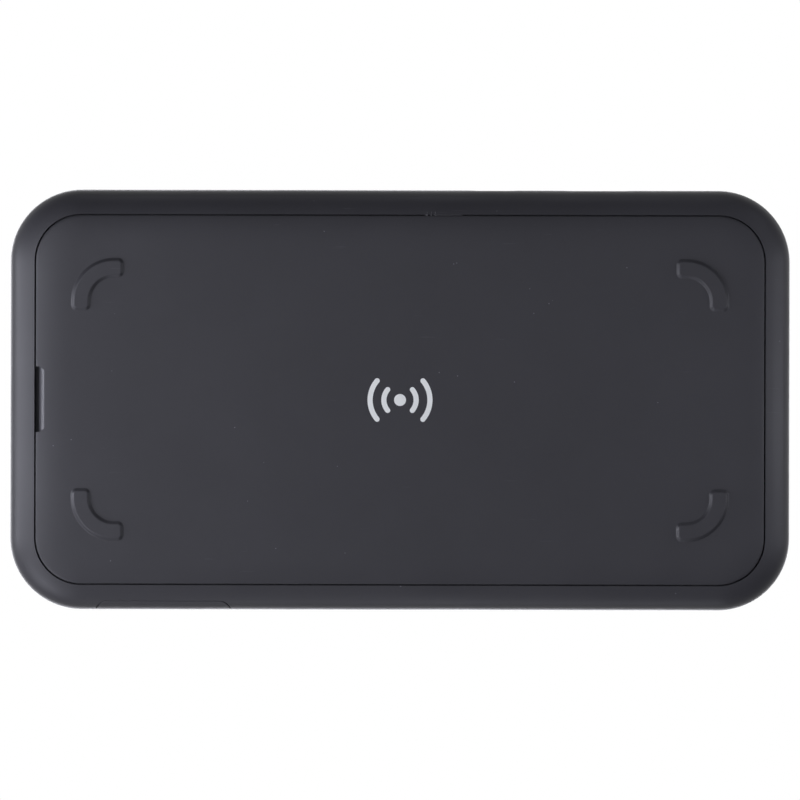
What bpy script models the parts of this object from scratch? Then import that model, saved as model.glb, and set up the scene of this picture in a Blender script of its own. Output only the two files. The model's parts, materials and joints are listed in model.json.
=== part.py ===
"""Mobile hotspot with a swing-off rear cover, a removable battery and a hinged port door.

The device lies on the four feet of its rear cover, display up: +Z is out of the display, +X is along the
long side, and the ports are in the -Y side. The origin is under the middle of the device, at the level of the
feet. Every length and place below is in millimetres; MM turns it into metres where a mesh is made.
"""

import math

import bmesh
import bpy
from mathutils import Matrix, Vector

MM = 0.001

# Outer shape
LENGTH, WIDTH, HEIGHT = 150.0, 80.8, 18.0
CORNER_RADIUS = 13.8
CORNER_STEPS = 8
BACK_Z = 0.6  # the flat of the back stands this high on its feet
ROLL_WIDTH, ROLL_HEIGHT, ROLL_POWER = 13.0, 6.4, 3.0  # how the back rolls over into the side walls
ROLL_STEPS = 8
FRONT_EDGE_RADIUS = 2.4
SPLIT_Z, SPLIT_GAP = 14.6, 0.2  # where the two housings meet
WALL = 2.0
HALF_Y = WIDTH / 2

# Rear cover
RIM_WIDTH = 4.65  # from the outline to the cover's opening
SEAM = 0.35
COVER_INSET = RIM_WIDTH + SEAM
COVER_INNER_Z = 1.9
FOOT_X, FOOT_Y = 55.0, 18.95  # centres of the feet's arcs
FOOT_OUTER_R, FOOT_INNER_R, FOOT_DRAFT = 7.8, 4.9, 0.35
FOOT_RUN, FOOT_END_R = 1.45, 0.7  # straight run past each end of the arc, and its corners' radius
NOTCH_LENGTH, NOTCH_DEPTH, NOTCH_BEVEL = 12.6, 0.6, 1.05
HOOK_LENGTH = 7.0
TOP_HOOKS_X, BOTTOM_HOOKS_X, END_HOOKS_Y = (-45.0, -8.3, 50.0), (-40.0, 22.0), (-22.0, 22.0)
TONGUES_Y, TONGUE_WIDTH = (-20.0, 20.0), 8.0
HOOK_PROFILE = ((0.7, 1.6), (1.7, 1.6), (1.7, 3.3), (0.4, 3.3), (0.4, 2.8), (0.7, 2.8))  # (in from edge, z)
TONGUE_PROFILE = ((0.4, 1.6), (2.4, 1.6), (2.4, 2.8), (-1.2, 2.8), (-1.2, 2.2), (0.4, 2.2))
COVER_AXIS = (-(LENGTH / 2 - COVER_INSET), 0.0, 1.1)

# Rear housing
PLATE_Z = (2.2, 3.4)  # the plate that carries the screws, under the rear cover
BATTERY = ((-51.0, -28.0, 2.3), (35.0, 28.0, 8.8))
BATTERY_CAP = 1.9
BAY_GAP, BAY_WALL, BAY_FLOOR_Z = 0.6, 1.2, (9.1, 10.1)
SCOOP_CENTRE, SCOOP_RADIUS, SCOOP_DEPTH_Z = (-8.0, -26.0), 6.5, 7.0
SCREWS = ((-61.2, -26.1), (-61.0, 26.2), (40.0, -24.0), (40.1, 25.7), (63.4, -26.1), (63.6, 26.2))
SIM_POCKET = ((44.5, -0.2), (66.3, 12.2))
SIM_POCKET_Z = 4.1
RESET = (52.0, -10.0)

# Port door, hinged along its front edge
DOOR_X, DOOR_Z, DOOR_CORNER = (32.7, 58.2), (2.7, 14.0), 1.8
DOOR_GAP, DOOR_INNER_Y, DOOR_POCKET_Y = 0.2, -38.4, -37.9
DOOR_AXIS = (sum(DOOR_X) / 2, 1.0 - HALF_Y, 13.0)
DOOR_BARREL_R, PIN_R, PIN_BORE_R = 0.95, 0.45, 0.54

# Ports
USB_X, USB_Z, USB_SIZE = 38.32, 9.35, (8.94, 3.2)
JACK_X, JACK_Z = (43.7, 58.1), (4.0, 14.3)
PLUG_X, PLUG_Z = (45.0, 56.8), (5.2, 12.0)
LATCH_X, LATCH_TOP_Z = (47.9, 53.9), 13.6

# Side buttons
BUTTON_Z, BUTTON_HEIGHT, BUTTON_GAP, BUTTON_DISH = 9.6, 3.5, 0.25, 0.5
BUTTONS = {"power": (-38.0, 11.1), "wps": (-18.0, 7.1)}  # centre x and length

# Board and display
BOARD_INSET, BOARD_Z = 3.8, (11.0, 12.0)
GLASS_INSET, GLASS_Z, GLASS_POCKET_Z = 3.2, (17.0, 17.9), 16.6
DISPLAY = ((-27.0, -21.5, 14.8), (27.0, 21.5, 16.8))
DISPLAY_WINDOW_GAP = 0.6
FRONT_PLATE_Z = 15.4
LIGHT_GUIDE = (36.0, 0.0)
SHIELD_TOP_Z, SHIELD_WALL = 13.6, 0.25

# name: (base colour, roughness, metallic)
FINISHES = {
    "soft_black": ((0.040, 0.040, 0.045), 0.55, 0.0),
    "inner_black": ((0.030, 0.030, 0.033), 0.60, 0.0),
    "gloss_black": ((0.010, 0.010, 0.012), 0.08, 0.0),
    "screen": ((0.020, 0.022, 0.028), 0.15, 0.0),
    "rubber": ((0.025, 0.025, 0.027), 0.80, 0.0),
    "steel": ((0.60, 0.60, 0.62), 0.35, 1.0),
    "tin": ((0.70, 0.70, 0.70), 0.40, 1.0),
    "gold": ((0.83, 0.62, 0.28), 0.30, 1.0),
    "board_green": ((0.02, 0.09, 0.05), 0.45, 0.0),
    "chip_black": ((0.03, 0.03, 0.03), 0.50, 0.0),
    "port_black": ((0.02, 0.02, 0.02), 0.50, 0.0),
    "film_amber": ((0.45, 0.20, 0.04), 0.40, 0.0),
    "battery_grey": ((0.10, 0.10, 0.11), 0.50, 0.0),
    "label_white": ((0.75, 0.75, 0.73), 0.60, 0.0),
    "pad_blue": ((0.25, 0.42, 0.55), 0.80, 0.0),
    "graphite": ((0.08, 0.08, 0.085), 0.45, 0.5),
    "clear": ((0.80, 0.82, 0.84), 0.15, 0.0),
    "card_white": ((0.80, 0.80, 0.80), 0.45, 0.0),
}


# ---------------------------------------------------------------- helpers


def clear_scene():
    for old in list(bpy.data.objects):
        bpy.data.objects.remove(old)


def make_collection(name):
    made = bpy.data.collections.new(name)
    bpy.context.scene.collection.children.link(made)
    return made


def make_material(name):
    colour, roughness, metallic = FINISHES[name]
    made = bpy.data.materials.new(name)
    made.use_nodes = True
    shader = made.node_tree.nodes["Principled BSDF"]
    shader.inputs["Base Color"].default_value = (*colour, 1.0)
    shader.inputs["Roughness"].default_value = roughness
    shader.inputs["Metallic"].default_value = metallic
    made.diffuse_color = (*colour, 1.0)
    return made


def add_object(name, mesh):
    """A new object in the parts collection, at the world origin."""
    made = bpy.data.objects.new(name, mesh)
    PARTS.objects.link(made)
    return made


def finish(piece, finish_name, smooth_angle=40.0):
    """Gives a piece its own copy of a finish, and shades its round faces smooth."""
    if finish_name not in bpy.data.materials:
        make_material(finish_name)
    own = bpy.data.materials[finish_name].copy()
    own.name = f"{finish_name}_{piece.name}"
    piece.data.materials.clear()
    piece.data.materials.append(own)
    piece.data.shade_smooth()
    piece.data.set_sharp_from_angle(angle=math.radians(smooth_angle))
    return piece


def block(name, low, high):
    """A box between two corners, with its origin at its middle."""
    size = [(b - a) * MM for a, b in zip(low, high)]
    bm = bmesh.new()
    bmesh.ops.create_cube(bm, size=1.0, matrix=Matrix.Diagonal((*size, 1.0)))
    made = add_object(name, mesh_of(name, bm))
    made.location = [(a + b) / 2 * MM for a, b in zip(low, high)]
    return made


def mesh_of(name, bm):
    bmesh.ops.recalc_face_normals(bm, faces=bm.faces)
    mesh = bpy.data.meshes.new(name)
    bm.to_mesh(mesh)
    bm.free()
    return mesh


def cylinder(name, start, end, radius, segments=24):
    """A round bar between two points, with its origin at its middle."""
    a, b = Vector(start) * MM, Vector(end) * MM
    bm = bmesh.new()
    bmesh.ops.create_cone(
        bm, cap_ends=True, segments=segments, radius1=radius * MM, radius2=radius * MM, depth=(b - a).length
    )
    made = add_object(name, mesh_of(name, bm))
    made.location = (a + b) / 2
    made.rotation_mode = "QUATERNION"
    made.rotation_quaternion = (b - a).to_track_quat("Z", "Y")
    return made


def flat_plate(name, outline, low, high, holes=()):
    """A flat outline in XY, thick from low to high in Z, made as a filled 2D curve."""
    curve = bpy.data.curves.new(name, "CURVE")
    curve.dimensions = "2D"
    curve.fill_mode = "BOTH"
    curve.extrude = (high - low) / 2 * MM
    for points in (outline, *holes):
        spline = curve.splines.new("POLY")
        spline.points.add(len(points) - 1)
        for target, (x, y) in zip(spline.points, points):
            target.co = (x * MM, y * MM, 0.0, 1.0)
        spline.use_cyclic_u = True
    drawn = add_object(name + "_outline", curve)
    drawn.location.z = (low + high) / 2 * MM
    return mesh_from_curve(name, drawn)


def side_plate(name, outline, low, high):
    """A flat outline in XZ, thick from low to high in Y."""
    made = flat_plate(name, outline, -high, -low)
    turn = Matrix.Rotation(math.radians(90.0), 4, "X")
    made.data.transform(turn @ made.matrix_basis)
    made.matrix_basis = Matrix.Identity(4)
    return made


def mesh_from_curve(name, drawn):
    bpy.context.view_layer.update()
    graph = bpy.context.evaluated_depsgraph_get()
    mesh = bpy.data.meshes.new_from_object(drawn.evaluated_get(graph))
    bm = bmesh.new()
    bm.from_mesh(mesh)
    bmesh.ops.remove_doubles(bm, verts=bm.verts, dist=1e-6)
    bmesh.ops.recalc_face_normals(bm, faces=bm.faces)
    bm.to_mesh(mesh)
    bm.free()
    mesh.name = name
    made = add_object(name, mesh)
    made.matrix_world = drawn.matrix_world
    bpy.data.objects.remove(drawn)
    return made


def loft(name, sections):
    """One closed solid through a stack of outlines that have the same number of (x, y, z) points."""
    bm = bmesh.new()
    rings = [[bm.verts.new(Vector(p) * MM) for p in section] for section in sections]
    for lower, upper in zip(rings, rings[1:]):
        for i in range(len(lower)):
            j = (i + 1) % len(lower)
            bm.faces.new((lower[i], lower[j], upper[j], upper[i]))
    bm.faces.new(list(reversed(rings[0])))
    bm.faces.new(rings[-1])
    return add_object(name, mesh_of(name, bm))


def ribbon(name, path, low_y, high_y, thickness):
    """A thin strip that follows a path of (x, z) points and is wide along Y."""
    bm = bmesh.new()
    rows = [[bm.verts.new((x * MM, y * MM, z * MM)) for y in (low_y, high_y)] for x, z in path]
    for (a, b), (c, d) in zip(rows, rows[1:]):
        bm.faces.new((a, b, d, c))
    mesh = bpy.data.meshes.new(name)
    bm.to_mesh(mesh)
    bm.free()
    made = add_object(name, mesh)
    skin = made.modifiers.new("thickness", "SOLIDIFY")
    skin.thickness = thickness * MM
    skin.offset = 0.0
    return made


def use_tool(target, tool, operation):
    modifier = target.modifiers.new(f"{operation.lower()}_{tool.name}"[:60], "BOOLEAN")
    modifier.operation = operation
    modifier.solver = "EXACT"
    modifier.object = tool
    tool.hide_render = True
    tool.display_type = "WIRE"
    if tool.name in PARTS.objects:
        PARTS.objects.unlink(tool)
        CUTTERS.objects.link(tool)


def cut(target, *tools):
    for tool in tools:
        use_tool(target, tool, "DIFFERENCE")
    return target


def join(target, *tools):
    for tool in tools:
        use_tool(target, tool, "UNION")
    return target


def bevel(target, width, segments=2):
    modifier = target.modifiers.new("rounded_edges", "BEVEL")
    modifier.width = width * MM
    modifier.segments = segments
    modifier.limit_method = "ANGLE"
    return target


def joint_empty(name, place, *pieces):
    """An empty on a joint's axis, which carries the pieces that move with it."""
    made = bpy.data.objects.new(name, None)
    PARTS.objects.link(made)
    made.location = Vector(place) * MM
    bpy.context.view_layer.update()
    for piece in pieces:
        piece.parent = made
        piece.matrix_parent_inverse = made.matrix_world.inverted()
    return made


# ---------------------------------------------------------------- outlines


def rounded_rectangle(low_x, low_y, high_x, high_y, radius, steps=CORNER_STEPS):
    """Points of a rounded rectangle, anticlockwise from the right of its lower right corner's arc."""
    points = []
    centres = (
        (high_x - radius, low_y + radius, -90.0),
        (high_x - radius, high_y - radius, 0.0),
        (low_x + radius, high_y - radius, 90.0),
        (low_x + radius, low_y + radius, 180.0),
    )
    for x, y, start in centres:
        for step in range(steps + 1):
            angle = math.radians(start + 90.0 * step / steps)
            points.append((x + radius * math.cos(angle), y + radius * math.sin(angle)))
    return points


def inset_outline(inset):
    """The device's outline, moved in by inset."""
    x, y = LENGTH / 2 - inset, HALF_Y - inset
    return rounded_rectangle(-x, -y, x, y, CORNER_RADIUS - inset)


def section(inset, z):
    return [(x, y, z) for x, y in inset_outline(inset)]


def back_height(inset):
    """Height of the back's outer surface at a distance in from the outline: flat, then rolling over."""
    along = max(0.0, 1.0 - inset / ROLL_WIDTH)
    left = (1.0 - along**ROLL_POWER) ** (1.0 / ROLL_POWER)
    return BACK_Z + ROLL_HEIGHT * (1.0 - left)


def roll_insets(outermost, steps):
    """Insets from the flat of the back out to outermost, closer together where the surface turns faster."""
    last = 1.0 - outermost / ROLL_WIDTH
    end = math.asin(min(1.0, last ** (ROLL_POWER / 2)))
    angles = [end * step / steps for step in range(1, steps + 1)]
    return [ROLL_WIDTH] + [ROLL_WIDTH * (1.0 - math.sin(a) ** (2 / ROLL_POWER)) for a in angles]


def foot_outline(grow):
    """A quarter ring about the origin that runs on straight past both ends, grown on all sides."""
    outer, inner, corner = FOOT_OUTER_R + grow, FOOT_INNER_R - grow, FOOT_END_R + grow
    end = corner - FOOT_RUN - grow
    arcs = (
        (outer - corner, end, corner, -90.0, 0.0, 3),
        (0.0, 0.0, outer, 0.0, 90.0, 9),
        (end, outer - corner, corner, 90.0, 180.0, 3),
        (end, inner + corner, corner, 180.0, 270.0, 3),
        (0.0, 0.0, inner, 90.0, 0.0, 7),
        (inner + corner, end, corner, 180.0, 270.0, 3),
    )
    points = []
    for x, y, radius, start, stop, steps in arcs:
        for step in range(steps + 1):
            angle = math.radians(start + (stop - start) * step / steps)
            points.append((x + radius * math.cos(angle), y + radius * math.sin(angle)))
    return points


# ---------------------------------------------------------------- shells


def make_rear_cover():
    insets = roll_insets(COVER_INSET, 4)
    outer = [section(u, back_height(u)) for u in insets]
    inner = [section(COVER_INSET, COVER_INNER_Z)]
    cover = loft("rear_cover", outer + inner)
    for sign_x in (-1, 1):
        for sign_y in (-1, 1):
            join(cover, make_foot(sign_x, sign_y))
    edge_x = LENGTH / 2 - COVER_INSET
    for y in TONGUES_Y:
        ends = y - TONGUE_WIDTH / 2, y + TONGUE_WIDTH / 2
        sides = [[(d - edge_x, end, z) for d, z in TONGUE_PROFILE] for end in ends]
        join(cover, loft(f"tongue_{y:.0f}", sides))
    for x, y, along_x in hook_places():
        join(cover, make_hook(x, y, along_x))
    notch_low, notch_high = -NOTCH_LENGTH / 2, NOTCH_LENGTH / 2
    slot = block("notch_slot", (edge_x - NOTCH_DEPTH, notch_low, 0.0), (edge_x + 2, notch_high, 3.0))
    slot_x, ramp_x = edge_x - NOTCH_DEPTH, edge_x - NOTCH_DEPTH - NOTCH_BEVEL
    flat_z = back_height(LENGTH / 2 - ramp_x)
    low_z = flat_z - 1.0
    profile = [(ramp_x, flat_z), (ramp_x, low_z), (slot_x + 0.3, low_z), (slot_x + 0.3, flat_z + 1.2)]
    ramp = loft("notch_ramp", [[(x, y, z) for x, z in profile] for y in (notch_low, notch_high)])
    return finish(cut(cover, slot, ramp), "soft_black")


def make_foot(sign_x, sign_y):
    """One raised arc that follows the corner it stands in."""
    levels = ((0.9, FOOT_DRAFT), (BACK_Z, FOOT_DRAFT), (0.15, 0.05), (0.0, -0.1))
    stack = []
    for z, grow in levels:
        points = [(sign_x * (FOOT_X + x), sign_y * (FOOT_Y + y), z) for x, y in foot_outline(grow)]
        stack.append(points)
    return loft(f"foot_{sign_x}_{sign_y}", stack)


def hook_places():
    """(x, y, whether the hook is long in X) of every snap hook."""
    edge_x, edge_y = LENGTH / 2 - COVER_INSET, HALF_Y - COVER_INSET
    places = [(x, edge_y, True) for x in TOP_HOOKS_X] + [(x, -edge_y, True) for x in BOTTOM_HOOKS_X]
    return places + [(edge_x, y, False) for y in END_HOOKS_Y]


def make_hook(x, y, along_x):
    """A cantilever and its barb, standing in from the cover's edge at (x, y)."""
    half, sign = HOOK_LENGTH / 2, math.copysign(1.0, y)
    if along_x:
        ends = [[(x + end, y - sign * d, z) for d, z in HOOK_PROFILE] for end in (-half, half)]
    else:
        ends = [[(x - d, y + end, z) for d, z in HOOK_PROFILE] for end in (-half, half)]
    return loft(f"hook_{x:.0f}_{y:.0f}", ends)


def bay_corners(grow):
    (x0, y0, _), (x1, y1, _) = BATTERY
    return x0 - grow, y0 - grow, x1 + grow, y1 + grow


def make_housing_core():
    """The hollow in front of the rear housing: its inner outline less the bay, the pads and the port wall."""
    core = flat_plate("housing_core", inset_outline(WALL), PLATE_Z[1], SPLIT_Z + 2)
    bay = bay_corners(BAY_GAP + BAY_WALL)
    keep = [block("bay_box", (bay[0], bay[1], 0.0), (bay[2], bay[3], BAY_FLOOR_Z[1]))]
    x, y = SCOOP_CENTRE
    keep.append(cylinder("scoop_box", (x, y, 0.0), (x, y, SCOOP_DEPTH_Z + 1), SCOOP_RADIUS + BAY_WALL))
    (x0, y0), (x1, y1) = SIM_POCKET
    keep.append(block("sim_box", (x0 - 1, y0 - 1, 0.0), (x1 + 1, y1 + 1, SIM_POCKET_Z + 0.8)))
    for index, (x, y) in enumerate(SCREWS):
        keep.append(cylinder(f"screw_pad_{index}", (x, y, 0.0), (x, y, 5.0), 3.4, 20))
    keep.append(cylinder("reset_tube", (*RESET, 0.0), (*RESET, 6.5), 1.9, 16))
    port_wall = (DOOR_X[0] - 1.6, -HALF_Y, 0.0), (DOOR_X[1] + 1.6, DOOR_POCKET_Y + 1.2, SPLIT_Z + 3)
    keep.append(block("port_wall", *port_wall))
    return cut(core, *keep)


def make_rear_housing():
    outer = [section(u, back_height(u)) for u in roll_insets(0.0, ROLL_STEPS)]
    housing = loft("rear_housing", outer + [section(0.0, SPLIT_Z)])
    cut(housing, flat_plate("cover_pocket", inset_outline(RIM_WIDTH), -2.0, PLATE_Z[0]))
    cut(housing, make_housing_core())
    bay = rounded_rectangle(*bay_corners(BAY_GAP), 1.5, steps=3)
    cut(housing, flat_plate("bay", bay, 1.0, BAY_FLOOR_Z[0]))
    x, y = SCOOP_CENTRE
    cut(housing, cylinder("finger_scoop", (x, y, 1.0), (x, y, SCOOP_DEPTH_Z), SCOOP_RADIUS))
    (x0, y0), (x1, y1) = SIM_POCKET
    cut(housing, flat_plate("sim_pocket", rounded_rectangle(x0, y0, x1, y1, 1.0, 3), 1.0, SIM_POCKET_Z))
    for index, (x, y) in enumerate(SCREWS):
        cut(housing, cylinder(f"head_hole_{index}", (x, y, 1.0), (x, y, 3.7), 2.3, 20))
        cut(housing, cylinder(f"shank_hole_{index}", (x, y, 1.0), (x, y, 7.0), 1.3, 12))
    cut(housing, cylinder("reset_hole", (*RESET, 1.0), (*RESET, 8.0), 0.9, 12))
    cut(housing, block("connector_window", (35.0, 4.6, 4.2), (38.2, 17.4, 11.0)))
    cut_cover_slots(housing)
    cut_port_door_pocket(housing)
    for name, (x, length) in BUTTONS.items():
        dish = pill(x, length + 6.0, BUTTON_HEIGHT + 3.9)
        cut(housing, side_plate(f"{name}_dish", dish, HALF_Y - BUTTON_DISH, HALF_Y + 1))
        hole = pill(x, length + 2 * BUTTON_GAP, BUTTON_HEIGHT + 2 * BUTTON_GAP)
        cut(housing, side_plate(f"{name}_hole", hole, HALF_Y - WALL - 1, HALF_Y + 1))
    return finish(housing, "soft_black")


def pill(x, length, height):
    """An upright-centred pill outline in XZ at the buttons' height."""
    half_x, half_z = length / 2, height / 2
    return rounded_rectangle(x - half_x, BUTTON_Z - half_z, x + half_x, BUTTON_Z + half_z, half_z - 0.01, 6)


def cut_cover_slots(housing):
    """Slots for the cover's tongues, which swing inside them, and for its snap hooks."""
    edge_x = LENGTH / 2 - COVER_INSET
    for y in TONGUES_Y:
        half = TONGUE_WIDTH / 2 + 0.4
        slot = (-edge_x - 1.6, y - half, 1.95), (-edge_x + 3.3, y + half, 3.9)
        cut(housing, block(f"tongue_slot_{y:.0f}", *slot))
    for x, y, along_x in hook_places():
        half = HOOK_LENGTH / 2 + 0.4
        if along_x:
            sign = math.copysign(1.0, y)
            across = sorted((y - sign * 2.1, y - sign * 0.05))
            corners = (x - half, across[0], 1.5), (x + half, across[1], 4.0)
        else:
            corners = (x - 2.1, y - half, 1.5), (x - 0.05, y + half, 4.0)
        cut(housing, block(f"hook_slot_{x:.0f}_{y:.0f}", *corners))


def cut_port_door_pocket(housing):
    (x0, x1), (z0, z1), gap = DOOR_X, DOOR_Z, DOOR_GAP
    pocket = rounded_rectangle(x0 - gap, z0 - gap, x1 + gap, z1 + gap, DOOR_CORNER + gap, 5)
    cut(housing, side_plate("door_pocket", pocket, -HALF_Y - 2, DOOR_POCKET_Y))
    _, y, z = DOOR_AXIS
    hinge_room = (x0 - gap, -HALF_Y - 2, z - DOOR_BARREL_R - 0.3), (x1 + gap, DOOR_POCKET_Y, z1 + gap)
    cut(housing, block("hinge_room", *hinge_room))
    cut(housing, cylinder("pin_seats", (x0 - 1.3, y, z), (x1 + 1.3, y, z), PIN_BORE_R, 16))
    usb = USB_SIZE[0] / 2 + 0.3, USB_SIZE[1] / 2 + 0.3
    usb_hole = rounded_rectangle(USB_X - usb[0], USB_Z - usb[1], USB_X + usb[0], USB_Z + usb[1], 1.8, 5)
    cut(housing, side_plate("usb_hole", usb_hole, DOOR_POCKET_Y - 1, DOOR_POCKET_Y + 3))
    cut(housing, side_plate("jack_hole", jack_outline(0.3), DOOR_POCKET_Y - 1, DOOR_POCKET_Y + 3))


def jack_outline(grow):
    """The Ethernet plug's opening: a wide rectangle with a narrower way for the plug's latch above it."""
    (x0, x1), (z0, z1), (a, b) = PLUG_X, PLUG_Z, LATCH_X
    top = LATCH_TOP_Z + grow * 0.5
    shoulder = z1 + grow
    right = [(x1 + grow, z0 - grow), (x1 + grow, shoulder), (b + grow, shoulder), (b + grow, top)]
    left = [(a - grow, top), (a - grow, shoulder), (x0 - grow, shoulder), (x0 - grow, z0 - grow)]
    return right + left


def make_front_housing():
    """The front frame: it holds the glass in a pocket, and its bosses take the screws from the back."""
    edge = []
    for step in range(5):
        angle = math.radians(90.0 * step / 4)
        inset = FRONT_EDGE_RADIUS * (1.0 - math.cos(angle))
        edge.append(section(inset, HEIGHT - FRONT_EDGE_RADIUS * (1.0 - math.sin(angle))))
    frame = loft("front_housing", [section(0.0, SPLIT_Z + SPLIT_GAP), *edge])
    cut(frame, flat_plate("glass_pocket", inset_outline(GLASS_INSET - 0.2), GLASS_POCKET_Z, HEIGHT + 2))
    cut(frame, flat_plate("frame_core", inset_outline(WALL), 10.0, FRONT_PLATE_Z))
    (x0, y0, _), (x1, y1, _) = DISPLAY
    gap = DISPLAY_WINDOW_GAP
    window = (x0 - gap, y0 - gap, 12.0), (x1 + gap, y1 + gap, HEIGHT + 2)
    cut(frame, block("display_window", *window))
    cut(frame, cylinder("light_hole", (*LIGHT_GUIDE, 12.0), (*LIGHT_GUIDE, 19.0), 1.35, 16))
    lip = flat_plate("lip", inset_outline(WALL + 0.2), 13.4, 15.8, holes=[inset_outline(WALL + 1.2)])
    port_gap = block("lip_port_gap", (DOOR_X[0] - 2.0, -HALF_Y, 12.0), (DOOR_X[1] + 2.0, -30.0, 15.2))
    join(frame, cut(lip, port_gap))
    for index, (x, y) in enumerate(SCREWS):
        join(frame, cylinder(f"boss_{index}", (x, y, 5.3), (x, y, 15.9), 2.5, 20))
    for index, (x, y) in enumerate(SCREWS):
        cut(frame, cylinder(f"pilot_{index}", (x, y, 4.0), (x, y, 12.0), 1.2, 12))
    return finish(frame, "inner_black")


def make_glass_and_display():
    finish(flat_plate("front_glass", inset_outline(GLASS_INSET), *GLASS_Z), "gloss_black")
    tape_inner = [inset_outline(GLASS_INSET + 2.6)]
    tape = flat_plate("glass_adhesive", inset_outline(GLASS_INSET + 0.1), 16.65, 16.95, holes=tape_inner)
    finish(tape, "rubber")
    finish(block("display_module", *DISPLAY), "screen")
    bend = [(-31.0 - 1.2 * math.sin(a), 13.42 + 1.2 * math.cos(a)) for a in steps_to(math.pi, 8)]
    path = [(-23.0, 14.62), *bend, (-25.0, 12.22)]
    finish(ribbon("display_flex", path, 10.0, 22.0, 0.15), "film_amber")
    guide = cylinder("status_light_guide", (*LIGHT_GUIDE, 12.9), (*LIGHT_GUIDE, 16.9), 1.0, 16)
    finish(guide, "clear")
    x, y = LIGHT_GUIDE
    finish(block("status_led", (x - 0.8, y - 0.4, 12.05), (x + 0.8, y + 0.4, 12.65)), "card_white")


def steps_to(end, count):
    return [end * step / count for step in range(count + 1)]


# ---------------------------------------------------------------- port door and ports


def make_port_door():
    """The part of the outer shell over the ports, with a hinge barrel along its front edge."""
    (x0, x1), (z0, z1) = DOOR_X, DOOR_Z
    outer = [section(u, back_height(u)) for u in roll_insets(0.0, ROLL_STEPS)]
    door = loft("port_door", outer + [section(0.0, SPLIT_Z)])
    window = rounded_rectangle(x0, z0, x1, z1 + DOOR_CORNER, DOOR_CORNER, 5)
    keep = side_plate("door_window", window, -HALF_Y - 2, DOOR_INNER_Y)
    use_tool(door, keep, "INTERSECT")
    _, y, z = DOOR_AXIS
    cut(door, block("door_top", (x0 - 2, -HALF_Y - 3, z), (x1 + 2, DOOR_INNER_Y + 1, SPLIT_Z + 4)))
    join(door, cylinder("door_barrel", (x0, y, z), (x1, y, z), DOOR_BARREL_R, 20))
    cut(door, cylinder("door_bore", (x0 - 1, y, z), (x1 + 1, y, z), PIN_BORE_R, 16))
    finish(door, "soft_black")
    pin = finish(cylinder("port_door_pin", (x0 - 1.1, y, z), (x1 + 1.1, y, z), PIN_R, 16), "steel")
    ring = rounded_rectangle(x0 + 1.0, 4.6, x1 - 1.0, 11.6, 1.5, 3)
    seal = side_plate("port_door_seal", ring, DOOR_INNER_Y + 0.02, DOOR_INNER_Y + 0.3)
    hole = rounded_rectangle(x0 + 1.8, 5.4, x1 - 1.8, 10.8, 1.0, 3)
    cut(seal, side_plate("seal_hole", hole, DOOR_INNER_Y - 1, DOOR_INNER_Y + 1))
    finish(seal, "rubber")
    joint_empty("port_door_axis", DOOR_AXIS, door, seal)
    return pin


def make_usb_port():
    half_x, half_z = USB_SIZE[0] / 2, USB_SIZE[1] / 2
    outline = rounded_rectangle(USB_X - half_x, USB_Z - half_z, USB_X + half_x, USB_Z + half_z, 1.59, 5)
    shell = side_plate("usb_c_shell", outline, -37.8, -30.2)
    x, z = half_x - 0.3, half_z - 0.3
    inner = rounded_rectangle(USB_X - x, USB_Z - z, USB_X + x, USB_Z + z, 1.29, 5)
    cut(shell, side_plate("usb_hollow", inner, -39.0, -30.6))
    finish(shell, "steel")
    tongue = block("usb_c_tongue", (USB_X - 3.35, -36.9, USB_Z - 0.35), (USB_X + 3.35, -30.7, USB_Z + 0.35))
    finish(tongue, "port_black")


def make_ethernet_port():
    (x0, x1), (z0, z1) = JACK_X, JACK_Z
    jack = block("ethernet_jack", (x0, -36.4, z0), (x1, -20.5, z1))
    cut(jack, side_plate("plug_hollow", jack_outline(0.0), -38.0, -23.5))
    finish(jack, "port_black")
    comb = block("ethernet_contacts", (46.0, -25.2, 5.4), (55.8, -24.0, 6.3))
    pitch = 1.2
    for index in range(8):
        x = 46.7 + pitch * index
        wire = block(f"contact_wire_{index}", (x - 0.22, -34.0, 5.9), (x + 0.22, -24.6, 6.2))
        wire.rotation_euler.x = math.radians(-7.0)
        join(comb, wire)
    finish(comb, "gold")


# ---------------------------------------------------------------- buttons and switches


def make_buttons():
    for name, (x, length) in BUTTONS.items():
        button = side_plate(f"{name}_button", pill(x, length, BUTTON_HEIGHT), 37.2, HALF_Y - 0.05)
        flange = side_plate(f"{name}_flange", pill(x, length + 2.4, BUTTON_HEIGHT + 2.1), 37.0, 38.0)
        finish(join(button, flange), "soft_black")
        plunger = cylinder(f"{name}_plunger", (x, 35.3, BUTTON_Z), (x, 36.8, BUTTON_Z), 0.85, 16)
        finish(plunger, "card_white")
        joint_empty(f"{name}_axis", (x, HALF_Y, BUTTON_Z), button, plunger)
        switch = block(f"{name}_switch", (x - 3.0, 32.6, 8.2), (x + 3.0, 35.8, 10.9))
        cut(switch, cylinder(f"{name}_bore", (x, 34.6, BUTTON_Z), (x, 37.0, BUTTON_Z), 1.05, 16))
        finish(switch, "tin")
    x, y = RESET
    button = finish(cylinder("reset_button", (x, y, 2.6), (x, y, 7.9), 0.6, 16), "card_white")
    joint_empty("reset_axis", (x, y, 2.6), button)
    finish(block("reset_switch", (x - 2, y - 1.6, 8.4), (x + 2, y + 1.6, 10.9)), "tin")


# ---------------------------------------------------------------- battery and SIM


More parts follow.
